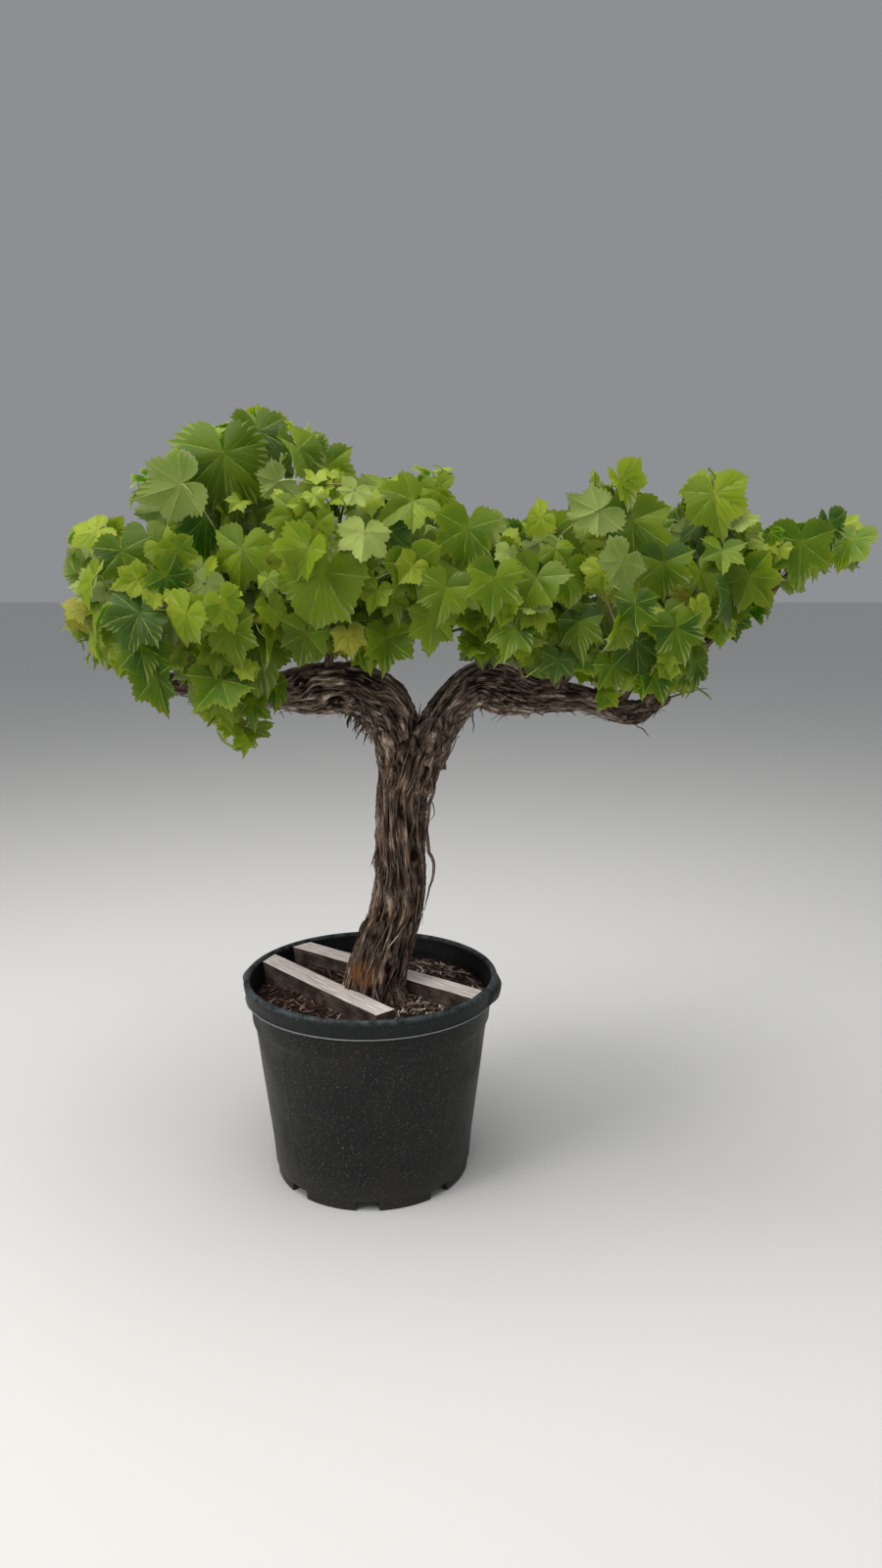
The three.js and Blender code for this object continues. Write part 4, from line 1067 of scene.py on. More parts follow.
def strand(stops, half):
    """A thread of bark through a few places, which thins towards its end."""
    course = Course([(*stop, half, 1) for stop in stops])
    share = np.linspace(0, 1, 6 * len(stops))
    path = course.at(share)[None]
    path = path + 1.5 * noise(path / 14, 8)[..., None]
    points, faces = tubes(path, half * np.minimum(1, 1.15 - share ** 3)[None], 5)
    flow = strip_flow(1, len(share), 5, 2 * half, course.length, strand_roll)
    return points, faces, (np.full(len(points), 0.6), flow)


make_wood("bark_strands", lit_old_bark, [strand(stops, half) for stops, half in strand_rows])

# %% [markdown]
# ## How the crown grows
# By the source's rule a stem goes on from each bough into an egg-shaped space, shoots leave it in evenly
# spread directions, and leaves look for empty places along them. The same rule runs here on the same
# numbers, and goes further: side twigs, and more and smaller leaves, none of which may cross.

# %% The growing rule
seeds = {"mass": 7919, "leaf": 101, "finer": 40009}
dice_step = 0x6D2B79F5
shoot = {"neck": 14, "lowest": 0.3, "highest": 0.96, "leaves_each": 4, "pieces": 3, "spread": 0.78,
         "lift": 0.22, "least": 40, "free_foot": 25, "tries": 14, "draw_in": 0.04, "stray": 0.06, "step": 8}
bead = {"step": 12, "swell": 1.05}
clear_of_limb = 5
clear_of_shoot = 8
core = {"from": -420, "to": 820, "height": 1360}
openings = [
    {"from": (-157, -430, 1536), "to": (-297, 500, 1562), "radius": 27},
    {"from": (432, -430, 1385), "to": (548, 500, 1368), "radius": 18},
]


def dice(seed):
    """Random numbers between 0 and 1 that repeat for the same seed, as in the source."""
    state = seed & full_word

    def roll():
        nonlocal state
        state = (state + dice_step) & full_word
        mixed = ((state ^ (state >> 15)) * (state | 1)) & full_word
        mixed ^= (mixed + (((mixed ^ (mixed >> 7)) * (mixed | 61)) & full_word)) & full_word
        return (mixed ^ (mixed >> 14)) / (full_word + 1)

    return roll


def jitter(roll):
    """A short step in any direction."""
    return np.array([roll() - 0.5, roll() - 0.5, roll() - 0.5])


def between(roll, low, high):
    return low + (high - low) * roll()


def limb_beads():
    """Balls along every limb, from which shoots and leaves keep clear."""
    places, sizes = [], []
    limbs = list(courses.values()) + [mass["limb"] for mass in masses if mass["along"] is not None]
    for course in limbs:
        share = np.linspace(0, 1, int(np.ceil(course.length / bead["step"])) + 1)
        places.append(course.at(share))
        sizes.append(course.radius(share) * np.maximum(1, course.depth(share)) * bead["swell"])
    return np.concatenate(places), np.concatenate(sizes)


bead_places, bead_sizes = limb_beads()


def off_limbs(points, spare=None):
    """True if all points are clear of the limbs, leaving out the beads round one place."""
    keep = np.ones(len(bead_sizes), bool)
    if spare is not None:
        keep = norm(bead_places - spare, axis=1) > bead_sizes + shoot["neck"]
    away = norm(points[:, None] - bead_places[None, keep], axis=-1)
    return bool((away > bead_sizes[keep] + clear_of_limb).all())


def in_opening(points):
    """True if any point lies in a sight line that stays open."""
    for opening in openings:
        start = np.array(opening["from"], float)
        line = np.array(opening["to"]) - start
        share = np.clip((points - start) @ line / (line @ line), 0, 1)
        away = norm(points - start - share[:, None] * line, axis=1)
        if (away < opening["radius"]).any():
            return True
    return False


def along_line(points, share):
    """The place at a share of a line's pieces, and the way the line runs there."""
    spot = share * (len(points) - 1)
    i = min(int(spot), len(points) - 2)
    step = points[i + 1] - points[i]
    return points[i] + step * (spot - i), step


def between_points(start, end, step):
    """Places along a straight line, at most a step apart."""
    count = max(1, int(np.ceil(norm(end - start) / step)))
    return start + (end - start) * np.linspace(0, 1, count + 1)[:, None]


def steps_along(points, step):
    """Places along a line through some points."""
    return np.concatenate([between_points(a, b, step) for a, b in zip(points, points[1:])])


def arched(start, end, lift, pieces):
    """A curve that rises between its ends, as pieces + 1 points."""
    bend = (start + end) / 2 + (0, 0, norm(end - start) * lift)
    t = np.linspace(0, 1, pieces + 1)[:, None]
    return (1 - t) ** 2 * start + 2 * t * (1 - t) * bend + t ** 2 * end


def even_direction(index, count, turn):
    """One of count directions that are spread evenly over a ball."""
    height = 1 - (2 * index + 1) / count
    flat = np.sqrt(1 - height * height)
    angle = index * np.pi * (3 - np.sqrt(5)) + turn
    return np.array([flat * np.cos(angle), flat * np.sin(angle), height])


def shoot_points(mass, start, aim, roll, taken):
    """A shoot that arches from the stem towards its aim, shortened until it fits."""
    for attempt in range(shoot["tries"]):
        away = (aim + jitter(roll) * (shoot["stray"] * attempt)) * mass["reach"]
        end = mass["centre"] + away * (1 - shoot["draw_in"] * attempt)
        points = arched(start, end, shoot["lift"], shoot["pieces"])
        path = steps_along(points, shoot["step"])
        outer = path[norm(path - start, axis=1) > shoot["free_foot"]]
        if norm(end - start) <= shoot["least"] or not len(outer):
            continue
        clear = inside_space(mass, outer).all() and not in_opening(outer)
        clear = clear and off_limbs(outer, mass["limb"].at(1.0))
        if clear and taken:
            others = np.concatenate(taken)
            clear = norm(outer[:, None] - others[None], axis=-1).min() > clear_of_shoot
        if clear:
            taken.append(outer)
            return points
    return None


def grow_shoots(mass, index):
    """The stem of a mass and the shoots that leave it, by the source's rule."""
    limb = mass["limb"]
    root = limb.at(1.0)
    neck = root + limb.ahead(1.0) * shoot["neck"]
    centre = np.array(mass["centre"], float)
    roll = dice(seeds["mass"] * (index + 1))
    turn = roll() * 2 * np.pi
    count = int(np.ceil(mass["leaves"] / shoot["leaves_each"]))
    shoots, taken = [], []
    for s in range(count):
        share = shoot["lowest"] + (shoot["highest"] - shoot["lowest"]) * s / (count - 1)
        last = count - 1 - s
        if last < len(mass["tips"]):
            aim = (np.array(mass["tips"][last]) - centre) / mass["reach"]
        else:
            aim = even_direction(last, count, turn) * shoot["spread"]
        points = shoot_points(mass, neck + (centre - neck) * share, aim, roll, taken)
        if points is not None:
            shoots.append(points)
    return np.array([root - limb.ahead(1.0) * 6, neck, centre]), shoots


for index, mass in enumerate(masses):
    mass["stem"], mass["shoots"] = grow_shoots(mass, index)
print("shoots:", sum(len(mass["shoots"]) for mass in masses))

# %% [markdown]
# ## The shape of a leaf
# Five main veins spread from the end of the stalk like fingers, with a lobe round each, a coarsely
# toothed edge and a notch for the stalk. The blade swells between the veins, folds a little along the
# middle one and bends back at the edge. So a leaf is a fan of spokes, with a narrow strip on each vein,
# and its height is a sum of those bends with other shares for each leaf.

# %% Leaf pattern
vein_angles = np.radians([-108, -50, 0, 50, 108])
outline_angles = np.radians([0, 13, 26, 40, 50, 64, 79, 94, 108, 126, 142, 156, 166, 172])
outline_reach = np.array([0.72, 0.64, 0.53, 0.585, 0.62, 0.57, 0.475, 0.52, 0.55, 0.52, 0.48, 0.42, 0.33,
                          0.20])
lobe_angles = np.radians([0, 50, 108])
gap_angles = np.radians([26, 79])
blade_thickness = 0.9
vein_half_width = 1.3
side_vein_half = 0.0065  # as a share of the leaf's width
side_vein_rise = 0.35
vein_end = 0.93


def leaf_height(x, y, swell, shape):
    """How far the blade stands out of its plane, as a share of its width."""
    reach = np.hypot(x, y)
    height = shape["cup"] * reach ** 2 + shape["fold"] * abs(x)
    height = height + shape["swell"] * swell * reach * (1.1 - reach)
    height = height - shape["tip"] * np.maximum(y, 0) ** 2
    return height + shape["wave"] * reach ** 2 * np.sin(3.1 * np.arctan2(x, y) + shape["phase"])


def leaf_outline(shape, angle, in_notch):
    """Reach of the edge at each angle, with each leaf's own lobes and teeth."""
    reach = np.interp(abs(angle), outline_angles, outline_reach)
    for i, at in enumerate(lobe_angles):
        lobe = np.exp(-((abs(angle) - at) / 0.24) ** 2)
        point = np.exp(-((abs(angle) - at) / 0.085) ** 2)
        reach = reach * (1 + shape[f"lobe_{i}"] * lobe + 0.06 * point)
    gaps = sum(np.exp(-((abs(angle) - at) / 0.15) ** 2) for at in gap_angles)
    uneven = np.sin(angle * 2.3 + shape["phase"]) * 0.035
    return reach * (1 - shape["gap"] * gaps) * (1 + uneven) * (1 - shape["teeth"] * in_notch)


# Between which shares each bend and each part of the outline varies.
leaf_ranges = {"swell": (0.05, 0.12), "tip": (0.0, 0.5), "wave": (0.04, 0.17), "phase": (0, 6.3),
               "gap": (-0.08, 0.16), "teeth": (0.07, 0.12), "lobe_0": (-0.07, 0.09),
               "lobe_1": (-0.07, 0.09), "lobe_2": (-0.07, 0.09)}
folded_share = 0.2


def leaf_shapes(count, roll):
    """Chances that give each leaf its own form. Each value is a column for all leaves."""
    folded = roll.uniform(0, 1, count) < folded_share
    shape = {"fold": np.where(folded, roll.uniform(0.4, 0.8, count), roll.uniform(-0.1, 0.42, count))}
    for name, (low, high) in leaf_ranges.items():
        shape[name] = roll.uniform(low, high, count)
    return {name: values[:, None] for name, values in shape.items()}


def column(blades, key):
    """One value of every leaf, as an array."""
    return np.array([blade[key] for blade in blades])


def in_frame(blades, x, y, z):
    """Places in space of points that are given as shares of each leaf's width."""
    width, hub, across, tip, face = [column(blades, key)[:, None]
                                     for key in ("width", "hub", "across", "tip", "face")]
    x, y, z = [(part * width)[..., None] for part in (x, y, z)]
    return hub + x * across + y * tip + z * face


class LeafPattern:
    """A fan of spokes and rings, a narrow strip on each main vein and ribbons for the side veins."""

    def __init__(self, teeth, rings, side_veins):
        self.rings = rings
        self.make_spokes(teeth)
        self.make_faces()
        self.place_side_veins(side_veins)

    def make_spokes(self, teeth):
        """Angle, side of the vein, place between two veins and notch for every spoke."""
        stops = np.concatenate([[-np.radians(172)], vein_angles, [np.radians(172)]])
        rows = [(stops[0], 0, 0, 0)]
        for i in range(len(stops) - 1):
            for j in range(1, teeth + 1):
                share = j / (teeth + 1)
                rows.append((stops[i] + (stops[i + 1] - stops[i]) * share, 0, np.sin(np.pi * share), j % 2))
            if i + 1 < len(stops) - 1:
                rows.append((stops[i + 1], -1, 0, 0))
                rows.append((stops[i + 1], 1, 0, 0))
        rows.append((stops[-1], 0, 0, 0))
        self.angle, self.side, self.swell, self.notch = np.array(rows).T

    def make_faces(self):
        """Corner numbers of the upper skin, and of the lower, which has points of its own."""
        spokes, rings = len(self.angle), len(self.rings)
        upper = 1 + np.arange(spokes * rings).reshape(spokes, rings)
        upper = np.concatenate([np.zeros((spokes, 1), int), upper], 1)
        self.faces = {}
        for name, grid in (("upper", upper), ("lower", upper + 1 + spokes * rings)):
            fan = np.stack([grid[:-1, 0], grid[1:, 1], grid[:-1, 1]], -1)
            bands = [np.stack([grid[:-1, r], grid[1:, r], grid[1:, r + 1], grid[:-1, r + 1]], -1)
                     for r in range(1, rings)]
            bands = np.stack(bands, 1)
            if name == "lower":
                fan, bands = fan[:, ::-1], bands[..., ::-1]
            self.faces[name] = (fan, bands.reshape(-1, 4))
        on_vein = self.side[:-1] == -1
        self.on_vein = (on_vein, np.repeat(on_vein, rings - 1))

    def place_side_veins(self, side_veins):
        """Corners of thin straight ribbons, as places between four points of the grid."""
        corners, quads, ends = [], [], []
        for main in vein_angles:
            for start, turn in side_veins:
                for side in (-1, 1):
                    shares = [start, *[ring for ring in self.rings if start < ring < vein_end], vein_end]
                    for share in shares:
                        first = len(corners)
                        bend = np.radians(turn) * (1 - start / share) / (1 - start / vein_end)
                        half = side_vein_half / share
                        corners += [(main + side * bend + edge * half, share) for edge in (1, -1)]
                        if share < vein_end:
                            quads.append((first, first + 1, first + 3, first + 2))
                    corners[-2:] = [(main + side * bend, vein_end)]
                    ends.append((*quads.pop()[:2], len(corners) - 1))
        self.quads, self.ends = np.array(quads).reshape(-1, 4), np.array(ends).reshape(-1, 3)
        angle, share = np.array(corners).reshape(-1, 2).T
        levels = np.array([0, *self.rings])
        self.spoke = np.searchsorted(self.angle, angle) - 1
        self.ring = np.searchsorted(levels, share) - 1
        next_angle, next_level = self.angle[self.spoke + 1], levels[self.ring + 1]
        self.across = ((angle - self.angle[self.spoke]) / (next_angle - self.angle[self.spoke]))[:, None]
        self.along = ((share - levels[self.ring]) / (next_level - levels[self.ring]))[:, None]

    def points(self, blades, shape, roll):
        """Points of many leaves: hub and rings of the upper skin, then those of the lower."""
        width = column(blades, "width")[:, None]
        ragged = roll.uniform(0.3, 1.3, (len(blades), len(self.angle)))
        reach = leaf_outline(shape, self.angle, self.notch * ragged - 0.15 * ragged)
        rings = []
        for ring in self.rings:
            away = reach * ring
            half = vein_half_width * (1 - 0.72 * ring) / width * self.side
            x = away * np.sin(self.angle) + half * np.cos(self.angle)
            y = away * np.cos(self.angle) - half * np.sin(self.angle)
            rings.append((x, y, leaf_height(x, y, self.swell, shape)))
        x, y, z = [np.stack(parts, -1) for parts in zip(*rings)]
        thin = np.zeros(z.shape)
        thin[:, 1:-1, :-1] = (blade_thickness / width)[..., None]
        hub = np.zeros((len(blades), 1))
        skins = [[part.reshape(len(blades), -1) for part in (x, y, height)] for height in (z, z - thin)]
        x, y, z = [np.concatenate([hub, upper, hub, lower], 1) for upper, lower in zip(*skins)]
        return in_frame(blades, x, y, z)

    def ribbons(self, blades, points, rise):
        """The corners of the side veins' ribbons, on the skin."""
        hub = np.broadcast_to(points[:, None, :1], (len(blades), len(self.angle), 1, 3))
        grid = points[:, 1:1 + len(self.angle) * len(self.rings)]
        grid = np.concatenate([hub, grid.reshape(len(blades), len(self.angle), len(self.rings), 3)], 2)
        near, far = [grid[:, spoke, self.ring] * (1 - self.along)
                     + grid[:, spoke, self.ring + 1] * self.along for spoke in (self.spoke, self.spoke + 1)]
        return near * (1 - self.across) + far * self.across + column(blades, "face")[:, None] * rise


# Each side vein leaves its main vein at a share of the length, and turns by some degrees to the edge.
patterns = {
    "large": (112, LeafPattern(11, (0.34, 0.68, 1.0), [(0.14, 21), (0.45, 10)])),
    "small": (62, LeafPattern(9, (0.55, 1.0), [(0.24, 16)])),
    "tiny": (0, LeafPattern(5, (0.6, 1.0), [])),
}
print("leaf patterns:", len(patterns))

# %% Leaf placing
leaf = {"least": 92, "most": 180, "smallest": 46, "first": 0.12, "last": 0.99, "stalk_least": 30,
        "stalk_most": 84, "stalk_slope": 0.3, "tries": 50, "choices": 4, "shrink": 0.977,
        "outer_share": 0.3, "spacing": 6.5, "tip_least": 30, "tip_most": 56, "tip_tries": 8}
pose = {"rise": 0.3, "stalk_stray": 2, "sideways": 0.7, "forward": 0.2, "face_stray": 1.6,
        "face_least": 0.1, "face_most": 0.8, "tip_out": 0.3, "tip_stray": 1.2, "turned_over": 0.15,
        "seen_stray": 0.9}
more_leaves = 3.6  # for each leaf of the solids
smaller_in = {"left_low": 0.72, "right_low": 0.72, "far_right": 0.85}
rim_test = 12  # points of a leaf's edge that are tried against its neighbours
# The crown's upper and lower edge in the photograph, as places on the plane y = 0.
crown_top = [
    (-700, 1500), (-640, 1546), (-597, 1556), (-566, 1540), (-525, 1556), (-505, 1639), (-399, 1649),
    (-385, 1721), (-331, 1741), (-291, 1715), (-272, 1752), (-225, 1766), (-152, 1735), (-109, 1752),
    (-68, 1715), (-36, 1701), (-4, 1660), (10, 1600), (48, 1618), (123, 1643), (160, 1640), (209, 1598),
    (226, 1540), (284, 1546), (328, 1510), (359, 1566), (392, 1556), (425, 1525), (445, 1556),
    (486, 1639), (513, 1605), (550, 1629), (605, 1587), (629, 1545), (671, 1556), (701, 1598),
    (721, 1639), (785, 1643), (831, 1577), (856, 1520), (899, 1510), (984, 1535), (1060, 1560),
    (1110, 1520),
]
crown_foot = [
    (-700, 1330), (-645, 1270), (-630, 1190), (-602, 1250), (-584, 1212), (-544, 1146), (-498, 1168),
    (-464, 1190), (-410, 1168), (-379, 1101), (-304, 1022), (-248, 1015), (-231, 1079), (-205, 1168),
    (-187, 1212), (-54, 1235), (12, 1212), (56, 1212), (89, 1267), (122, 1300), (144, 1234), (166, 1260),
    (188, 1312), (210, 1245), (243, 1212), (276, 1224), (409, 1180), (498, 1180), (565, 1160), (630, 1180),
    (720, 1157), (745, 1190), (760, 1256), (789, 1343), (845, 1300), (909, 1343), (927, 1408), (993, 1397),
    (1022, 1430), (1110, 1430),
]
crown_ends = (-668, 1098)  # its left and right end, along X
outline_slack = 14


def on_front(points):
    """Where the view's line to each point passes the plane y = 0."""
    away = np.asarray(points) - camera_place
    return camera_place + away * (-camera_place[1] / away[..., 1:2])


def past_outline(points):
    """True if any point would show outside the crown's outline in the photograph."""
    front = on_front(points)
    top = np.interp(front[:, 0], *np.array(crown_top).T) + outline_slack
    foot = np.interp(front[:, 0], *np.array(crown_foot).T) - outline_slack
    beside = (front[:, 0] < crown_ends[0]) | (front[:, 0] > crown_ends[1])
    return (beside | (front[:, 2] > top) | (front[:, 2] < foot)).any()


egg_centres = np.array([mass["centre"] for mass in masses], float)
egg_reaches = np.array([mass["reach"] for mass in masses], float)


def in_crown(points, beyond=0.0):
    """True if every point lies within the reach of some mass."""
    away = (points[:, None] - egg_centres) / (egg_reaches + beyond)
    return bool(((away ** 2).sum(-1) < 1).any(1).all())


def outwards(point):
    """The way out of the crown from the line along its middle."""
    nearest = np.array([np.clip(point[0], core["from"], core["to"]), 0, core["height"]])
    return unit(point - nearest)


def blade_at(root, growth, roll):
    """A leaf's place by the source's rule: its hub, and the way its face and its tip point."""
    out = outwards(root)
    stalk = (growth + out) / 2
    stalk = unit(stalk + (0, 0, pose["rise"]) + jitter(roll) * pose["stalk_stray"])
    hub = root + stalk * between(roll, leaf["stalk_least"], leaf["stalk_most"])
    face = np.array([out[0] * pose["sideways"], out[1] - pose["forward"], 0])
    face = unit(face + jitter(roll) * pose["face_stray"])
    face = unit(face + (0, 0, between(roll, pose["face_least"], pose["face_most"])))
    tip = out * pose["tip_out"] + jitter(roll) * pose["tip_stray"] - (0, 0, 1)
    tip = unit(tip - face * (tip @ face))
    across = np.cross(tip, face)
    return {"root": root, "hub": hub, "stalk": stalk, "face": face, "tip": tip, "across": across}


def blade_middle(blade):
    """The middle of the disc that stands for a leaf. The disc is half as wide each way as the leaf."""
    return blade["hub"] + blade["tip"] * 0.2 * blade["width"]


# Shares of a disc's reach within which a line is met or lies beside it, and of a width that stays in view.
disc = {"met": 0.86, "beside": 0.7, "shown": 0.4, "room": 10}


class Crown:
    """All leaves so far, as rims and planes against which a new one is tried."""

    shown = ()

    def __init__(self, room):
        self.centre, self.face = np.zeros((2, room, 3))
        self.reach = np.zeros(room)
        self.start, self.end = np.zeros((2, room, 2 * rim_test, 3))
        self.count = 0

    def lines(self, blade):
        """The rim and the spokes of a blade, as starts and ends of lines."""
        angle = 2 * np.pi * np.arange(rim_test) / rim_test
        folded = np.minimum(angle, 2 * np.pi - angle)
        reach = np.interp(folded, outline_angles, outline_reach) * blade["width"]
        x, y = (np.sin(angle) * reach)[:, None], (np.cos(angle) * reach)[:, None]
        back = (blade["cup"] * reach ** 2 / blade["width"])[:, None]
        rim = blade["hub"] + x * blade["across"] + y * blade["tip"] + back * blade["face"]
        hub = np.broadcast_to(blade["hub"], rim.shape)
        return np.concatenate([rim, hub]), np.concatenate([np.roll(rim, 1, 0), rim])

    def crossing(self, start, end, centre, face, reach):
        """True if a line passes through a blade, or runs too close beside it."""
        before = ((start - centre) * face).sum(-1)
        after = ((end - centre) * face).sum(-1)
        share = before / np.where(abs(before - after) < 1e-6, 1e-6, before - after)
        met = start + np.clip(share, 0, 1)[..., None] * (end - start)
        near = norm(met - centre, axis=-1) < reach * disc["met"]
        flat = start - centre - before[..., None] * face
        beside = norm(flat, axis=-1) < reach * disc["beside"]
        beside = beside & (abs(before) < leaf["spacing"])
        return (((before * after < 0) & near) | beside).any()

    def fits(self, blade, start, end):
        """True if a leaf crosses none of those that are there."""
        centre = blade_middle(blade)
        reach = 0.5 * blade["width"]
        away = norm(self.centre[:self.count] - centre, axis=1)
        close = away < self.reach[:self.count] + reach + disc["room"]
        if not close.any():
            return True
        near = np.flatnonzero(close)
        spots, faces, sizes = self.centre[near, None], self.face[near, None], self.reach[near, None]
        if self.crossing(start[None], end[None], spots, faces, sizes):
            return False
        return not self.crossing(self.start[near], self.end[near], centre, blade["face"], reach)

    def show(self, blade):
        """Keeps the view to this leaf free."""
        middle = blade_middle(blade)
        self.shown = (*self.shown, (on_front(middle), middle[1], disc["shown"] * blade["width"]))

    def hides(self, points):
        """True if a leaf with these points would cover one that has to be seen."""
        front = on_front(points)
        for middle, depth, reach in self.shown:
            covers = (norm(front - middle, axis=-1) < reach) & (points[:, 1] < depth)
            if covers.sum() > 2:
                return True
        return False

    def take(self, blade, start, end):
        """Adds a leaf to those that are there."""
        i = self.count
        self.centre[i] = blade_middle(blade)
        self.face[i] = blade["face"]
        self.reach[i] = 0.5 * blade["width"]
        self.start[i], self.end[i] = start, end
        self.count += 1


crown = Crown(4000)


def side_twigs(mass, shoots, roll):
    """Finer twigs that leave a shoot and turn outwards."""
    twigs = []
    for points in shoots:
        for k in range(2):
            share = between(roll, 0.25, 0.9)
            at, step = along_line(points, share)
            aim = unit(outwards(at) + jitter(roll) * 1.6 + (0, 0, 0.15))
            end = at + aim * between(roll, 60, 135)
            path = arched(at, end, 0.12, 3)
            inside = in_egg(mass, path[1:], 12).all() and not past_outline(path)
            if inside and off_limbs(path[1:]) and not in_opening(path):
                twigs.append(path)
    return twigs


def turn_over(blade):
    """Turns a leaf's face inwards, so that its underside shows."""
    return {**blade, "face": -blade["face"], "across": -blade["across"]}


# %% [markdown]
# Leaves that are plain to see in the photograph are set first, each by the place of its hub in the
# view, on the nearest shoot. The rule then fills in the rest round them and doesn't cover them.

# %% Leaves that the photograph shows
# Each row: hub in the 900 x 1600 view, width, lean of the tip to the right, turn to the right, finish.
# The finishes from fresh to deep, and shade, give a leaf's own green and paint its light or shade as well.
seen_leaves = [
    (228, 462, 190, 2, -6, "full"), (264, 440, 122, 5, 8, "full"), (305, 458, 140, 14, 48, "mid"),
    (334, 475, 118, 18, -30, "mid"), (185, 494, 132, -72, 10, "under"), (210, 527, 152, 4, 6, "shade"),
    (247, 560, 122, -12, 4, "light"), (314, 559, 108, -35, -12, "light"), (331, 584, 172, -24, 8, "mid"),
    (372, 543, 96, -8, 18, "under_young"), (421, 511, 116, -50, 4, "light"),
    (445, 500, 92, 12, -35, "fresh"), (124, 562, 112, 10, -14, "full"), (97, 588, 100, -8, -62, "fresh"),
    (105, 633, 108, -4, -66, "light"), (142, 626, 116, -20, 22, "shade"), (143, 658, 100, 8, -8, "deep"),
    (190, 626, 98, -32, -20, "fresh"), (227, 615, 84, 30, 28, "fresh"), (237, 642, 98, 10, 0, "mid"),
    (312, 646, 96, -12, 4, "full"), (355, 645, 64, 10, 12, "yellowing"), (394, 652, 96, -5, 0, "mid"),
    (226, 693, 116, -38, 5, "full"), (258, 714, 86, 2, 0, "mid"), (271, 650, 92, -8, 66, "light"),
    (477, 539, 118, -8, 10, "mid"), (499, 533, 62, 20, 10, "under_young"),
    (552, 528, 66, -60, -10, "young"), (547, 589, 114, -20, 8, "mid"), (580, 587, 100, 18, -8, "mid"),
    (602, 492, 82, -10, 64, "young"), (632, 489, 90, 32, 30, "young"), (645, 531, 146, 4, 2, "mid"),
    (611, 521, 116, -56, 14, "under"), (636, 572, 92, -40, 6, "under"), (677, 574, 110, 2, 10, "full"),
    (729, 504, 126, 12, -10, "fresh"), (725, 527, 112, -4, 5, "shade"), (765, 588, 108, 38, -6, "mid"),
    (744, 604, 116, 6, 55, "shade"), (712, 620, 66, 20, 30, "young"), (817, 553, 134, 2, -4, "mid"),
    (846, 535, 90, 14, 52, "shade"), (869, 550, 106, -6, -60, "mid"), (570, 674, 72, -10, 0, "shade"),
    (616, 708, 54, -20, 10, "mid"), (505, 590, 104, -6, 12, "mid"), (690, 640, 96, 15, -10, "full"),
    (525, 640, 92, -12, 8, "full"), (420, 575, 110, 16, 10, "mid"), (455, 600, 104, -14, -22, "mid"),
    (160, 690, 104, 10, -10, "deep"), (715, 583, 84, 10, 20, "light"), (648, 616, 80, 0, -12, "deep"),
    (631, 642, 70, -20, 10, "light"), (650, 655, 104, 4, 0, "deep"), (668, 688, 80, 12, 8, "deep"),
    (710, 676, 84, -8, 36, "full"), (655, 700, 42, 0, 0, "light"), (625, 678, 82, 18, 10, "mid"),
    (598, 672, 80, 50, 10, "mid"), (590, 634, 92, 8, -14, "full"), (737, 562, 84, -6, 20, "mid"),
    (740, 618, 80, 20, 10, "full"), (774, 604, 78, 8, 22, "mid"), (99, 541, 88, -50, -10, "young"),
    (112, 543, 64, 46, 12, "young"), (98, 548, 80, -14, -30, "under"), (150, 545, 96, 6, 10, "full"),
    (164, 556, 76, 50, 12, "light"), (170, 588, 84, 46, 0, "deep"), (140, 591, 66, -70, 10, "young"),
    (448, 569, 100, 5, 5, "light"), (431, 549, 82, -30, 10, "under_young"),
    (421, 577, 64, -40, 10, "young"), (468, 547, 112, 40, 10, "full"), (397, 543, 98, 0, -20, "shade"),
    (502, 602, 92, -8, -58, "full"), (442, 632, 90, -6, 4, "light"), (520, 563, 50, -18, 26, "under_young"),
    (303, 453, 70, 160, 8, "under_young"), (334, 442, 64, 10, 8, "young"), (350, 466, 94, 22, 22, "under"),
    (284, 492, 82, -55, 8, "under"), (300, 524, 92, -28, -8, "mid"), (362, 501, 62, -30, 10, "under_young"),
    (379, 508, 54, 4, 10, "young"), (757, 528, 62, 40, 12, "under_young"), (703, 548, 80, -66, 10, "under"),
    (727, 557, 80, -14, -24, "deep"), (749, 560, 80, -8, -46, "mid"), (567, 560, 66, -10, 12, "light"),
    (280, 700, 76, -12, 30, "full"), (180, 560, 70, 20, 40, "mid"), (746, 630, 74, 16, 10, "full"),
    (766, 620, 70, 10, -16, "deep"), (733, 640, 66, 0, 20, "mid"),
]
view_size = (900, 1600)
seen_stalk = (16, 118)  # the shortest and the longest stalk
seen_sizes = (1, 0.94, 0.88, 0.8)
seen_depths = (-375, 120, 12)  # from the front to the back, in steps
seen_beyond = 16  # how far such a leaf may reach beyond its mass


def through_view(u, v, depth):
    """The place that the view shows at a pixel, on the plane y = depth."""
    focal = focal_share * view_size[1]
    pitch = np.radians(camera_pitch)
    right = (u - view_size[0] / 2) / focal
    rise = (view_size[1] / 2 - v) / focal
    line = np.array([right, np.cos(pitch) + rise * np.sin(pitch), rise * np.cos(pitch) - np.sin(pitch)])
    return camera_place + line * ((depth - camera_place[1]) / line[1])


def nearest_on(lines, point):
    """The place on the shoots that is nearest to a point."""
    spots = np.concatenate([steps_along(points, 10) for points in lines])
    away = norm(spots - point, axis=1)
    return spots[away.argmin()], away.min()


